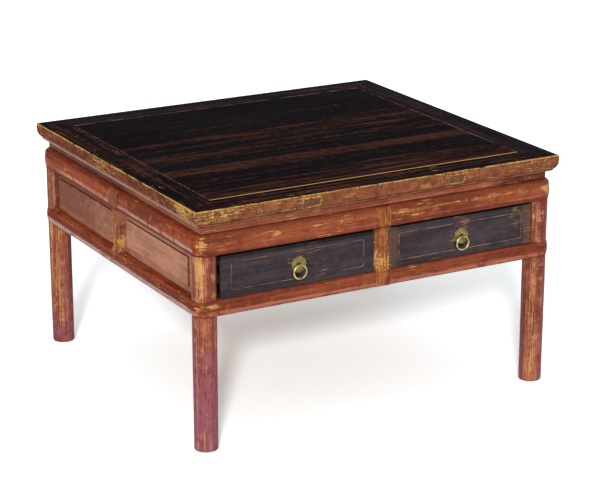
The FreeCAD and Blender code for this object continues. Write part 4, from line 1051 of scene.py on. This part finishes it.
for hand in drawers:
    drawerFront(hand)
    plate(hand)
    pullRing(hand)
print("drawer fronts and pulls made")


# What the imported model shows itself: drawer boxes, runners, guides, battens and split pins

for node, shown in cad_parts.items():
    if not shown.hide_render:
        words = node.split("_")
        wood = "crossWood" if words[-1] in ("back", "bottom") else "bareWood"
        finish = {"staple": "plateBrass", "batten": "battenWood"}.get(words[0], wood)
        shown.data.materials.clear()
        shown.data.materials.append(finishes[finish])
print("inner pieces dressed")


# Floor, light and camera

studio = {"ambient": 0.6, "key": 2.2, "keyAngle": 7.0, "toLight": (-0.48, -0.77, 0.42), "floorGlow": 0.085,
          "floorBright": (1.42, 1.48, 1.51)}
white = (1.0, 1.0, 1.0, 1.0)


def seenOf(start):
    # 1 for a ray from the camera, off something shiny or through something clear
    rays = [start.node("ShaderNodeLightPath", {}, {}, output) for output in (0, 3, 6)]
    return rays[0].most(rays[1]).most(rays[2])


def shadowFloor():
    # bright, with a little glow, where the floor is seen; pale paper to every other ray
    material = bpy.data.materials.new("palePaper")
    start = emptyTree(material)
    grainy = start.node("ShaderNodeTexCoord", {}, {}, 3).spots(4)
    paperColour = grainy.between(paint(231, 231, 231), paint(229, 229, 229))
    paper = start.node("ShaderNodeBsdfDiffuse", {}, {"Color": paperColour})
    bright = start.node("ShaderNodeBsdfDiffuse", {}, {"Color": (*studio["floorBright"], 1.0)})
    glow = start.node("ShaderNodeEmission", {}, {"Color": white, "Strength": studio["floorGlow"]})
    lit = start.node("ShaderNodeAddShader", {}, {0: bright, 1: glow})
    mixed = start.node("ShaderNodeMixShader", {}, {0: seenOf(start), 1: paper, 2: lit})
    mixed.toOutput("ShaderNodeOutputMaterial")
    return material


reach = 15.0
floorCorners = [(-reach, -reach, 0), (reach, -reach, 0), (reach, reach, 0), (-reach, reach, 0)]
floorMesh = bpy.data.meshes.new("floor")
floorMesh.from_pydata(floorCorners, [], [(0, 1, 2, 3)])
floorMesh.materials.append(shadowFloor())
floor = newObject("floor", floorMesh)

world = bpy.data.worlds.new("studio")
air = emptyTree(world)
ambient = air.node("ShaderNodeBackground", {}, {"Color": white, "Strength": studio["ambient"]})
backdrop = air.node("ShaderNodeBackground", {}, {"Color": white, "Strength": 1.0})
sky = air.node("ShaderNodeMixShader", {}, {0: seenOf(air), 1: ambient, 2: backdrop})
sky.toOutput("ShaderNodeOutputWorld")
bpy.context.scene.world = world

keyData = bpy.data.lights.new("windowLight", "SUN")
keyData.energy = studio["key"]
keyData.angle = math.radians(studio["keyAngle"])
key = newObject("windowLight", keyData)
key.rotation_euler = Vector(studio["toLight"]).to_track_quat("Z", "Y").to_euler()

view = {"place": (-1.8951, -3.4137, 1.4917), "turn": (math.pi / 2 - 0.3121, 0.0, -0.5114), "lens": 126.08}
cameraData = bpy.data.cameras.new("photoCamera")
cameraData.lens = view["lens"]
cameraData.sensor_width = 36.0
camera = newObject("photoCamera", cameraData)
camera.location, camera.rotation_euler = view["place"], view["turn"]
bpy.context.scene.camera = camera
bpy.context.scene.view_settings.view_transform = "Standard"

bpy.context.view_layer.update()
print("stage set")
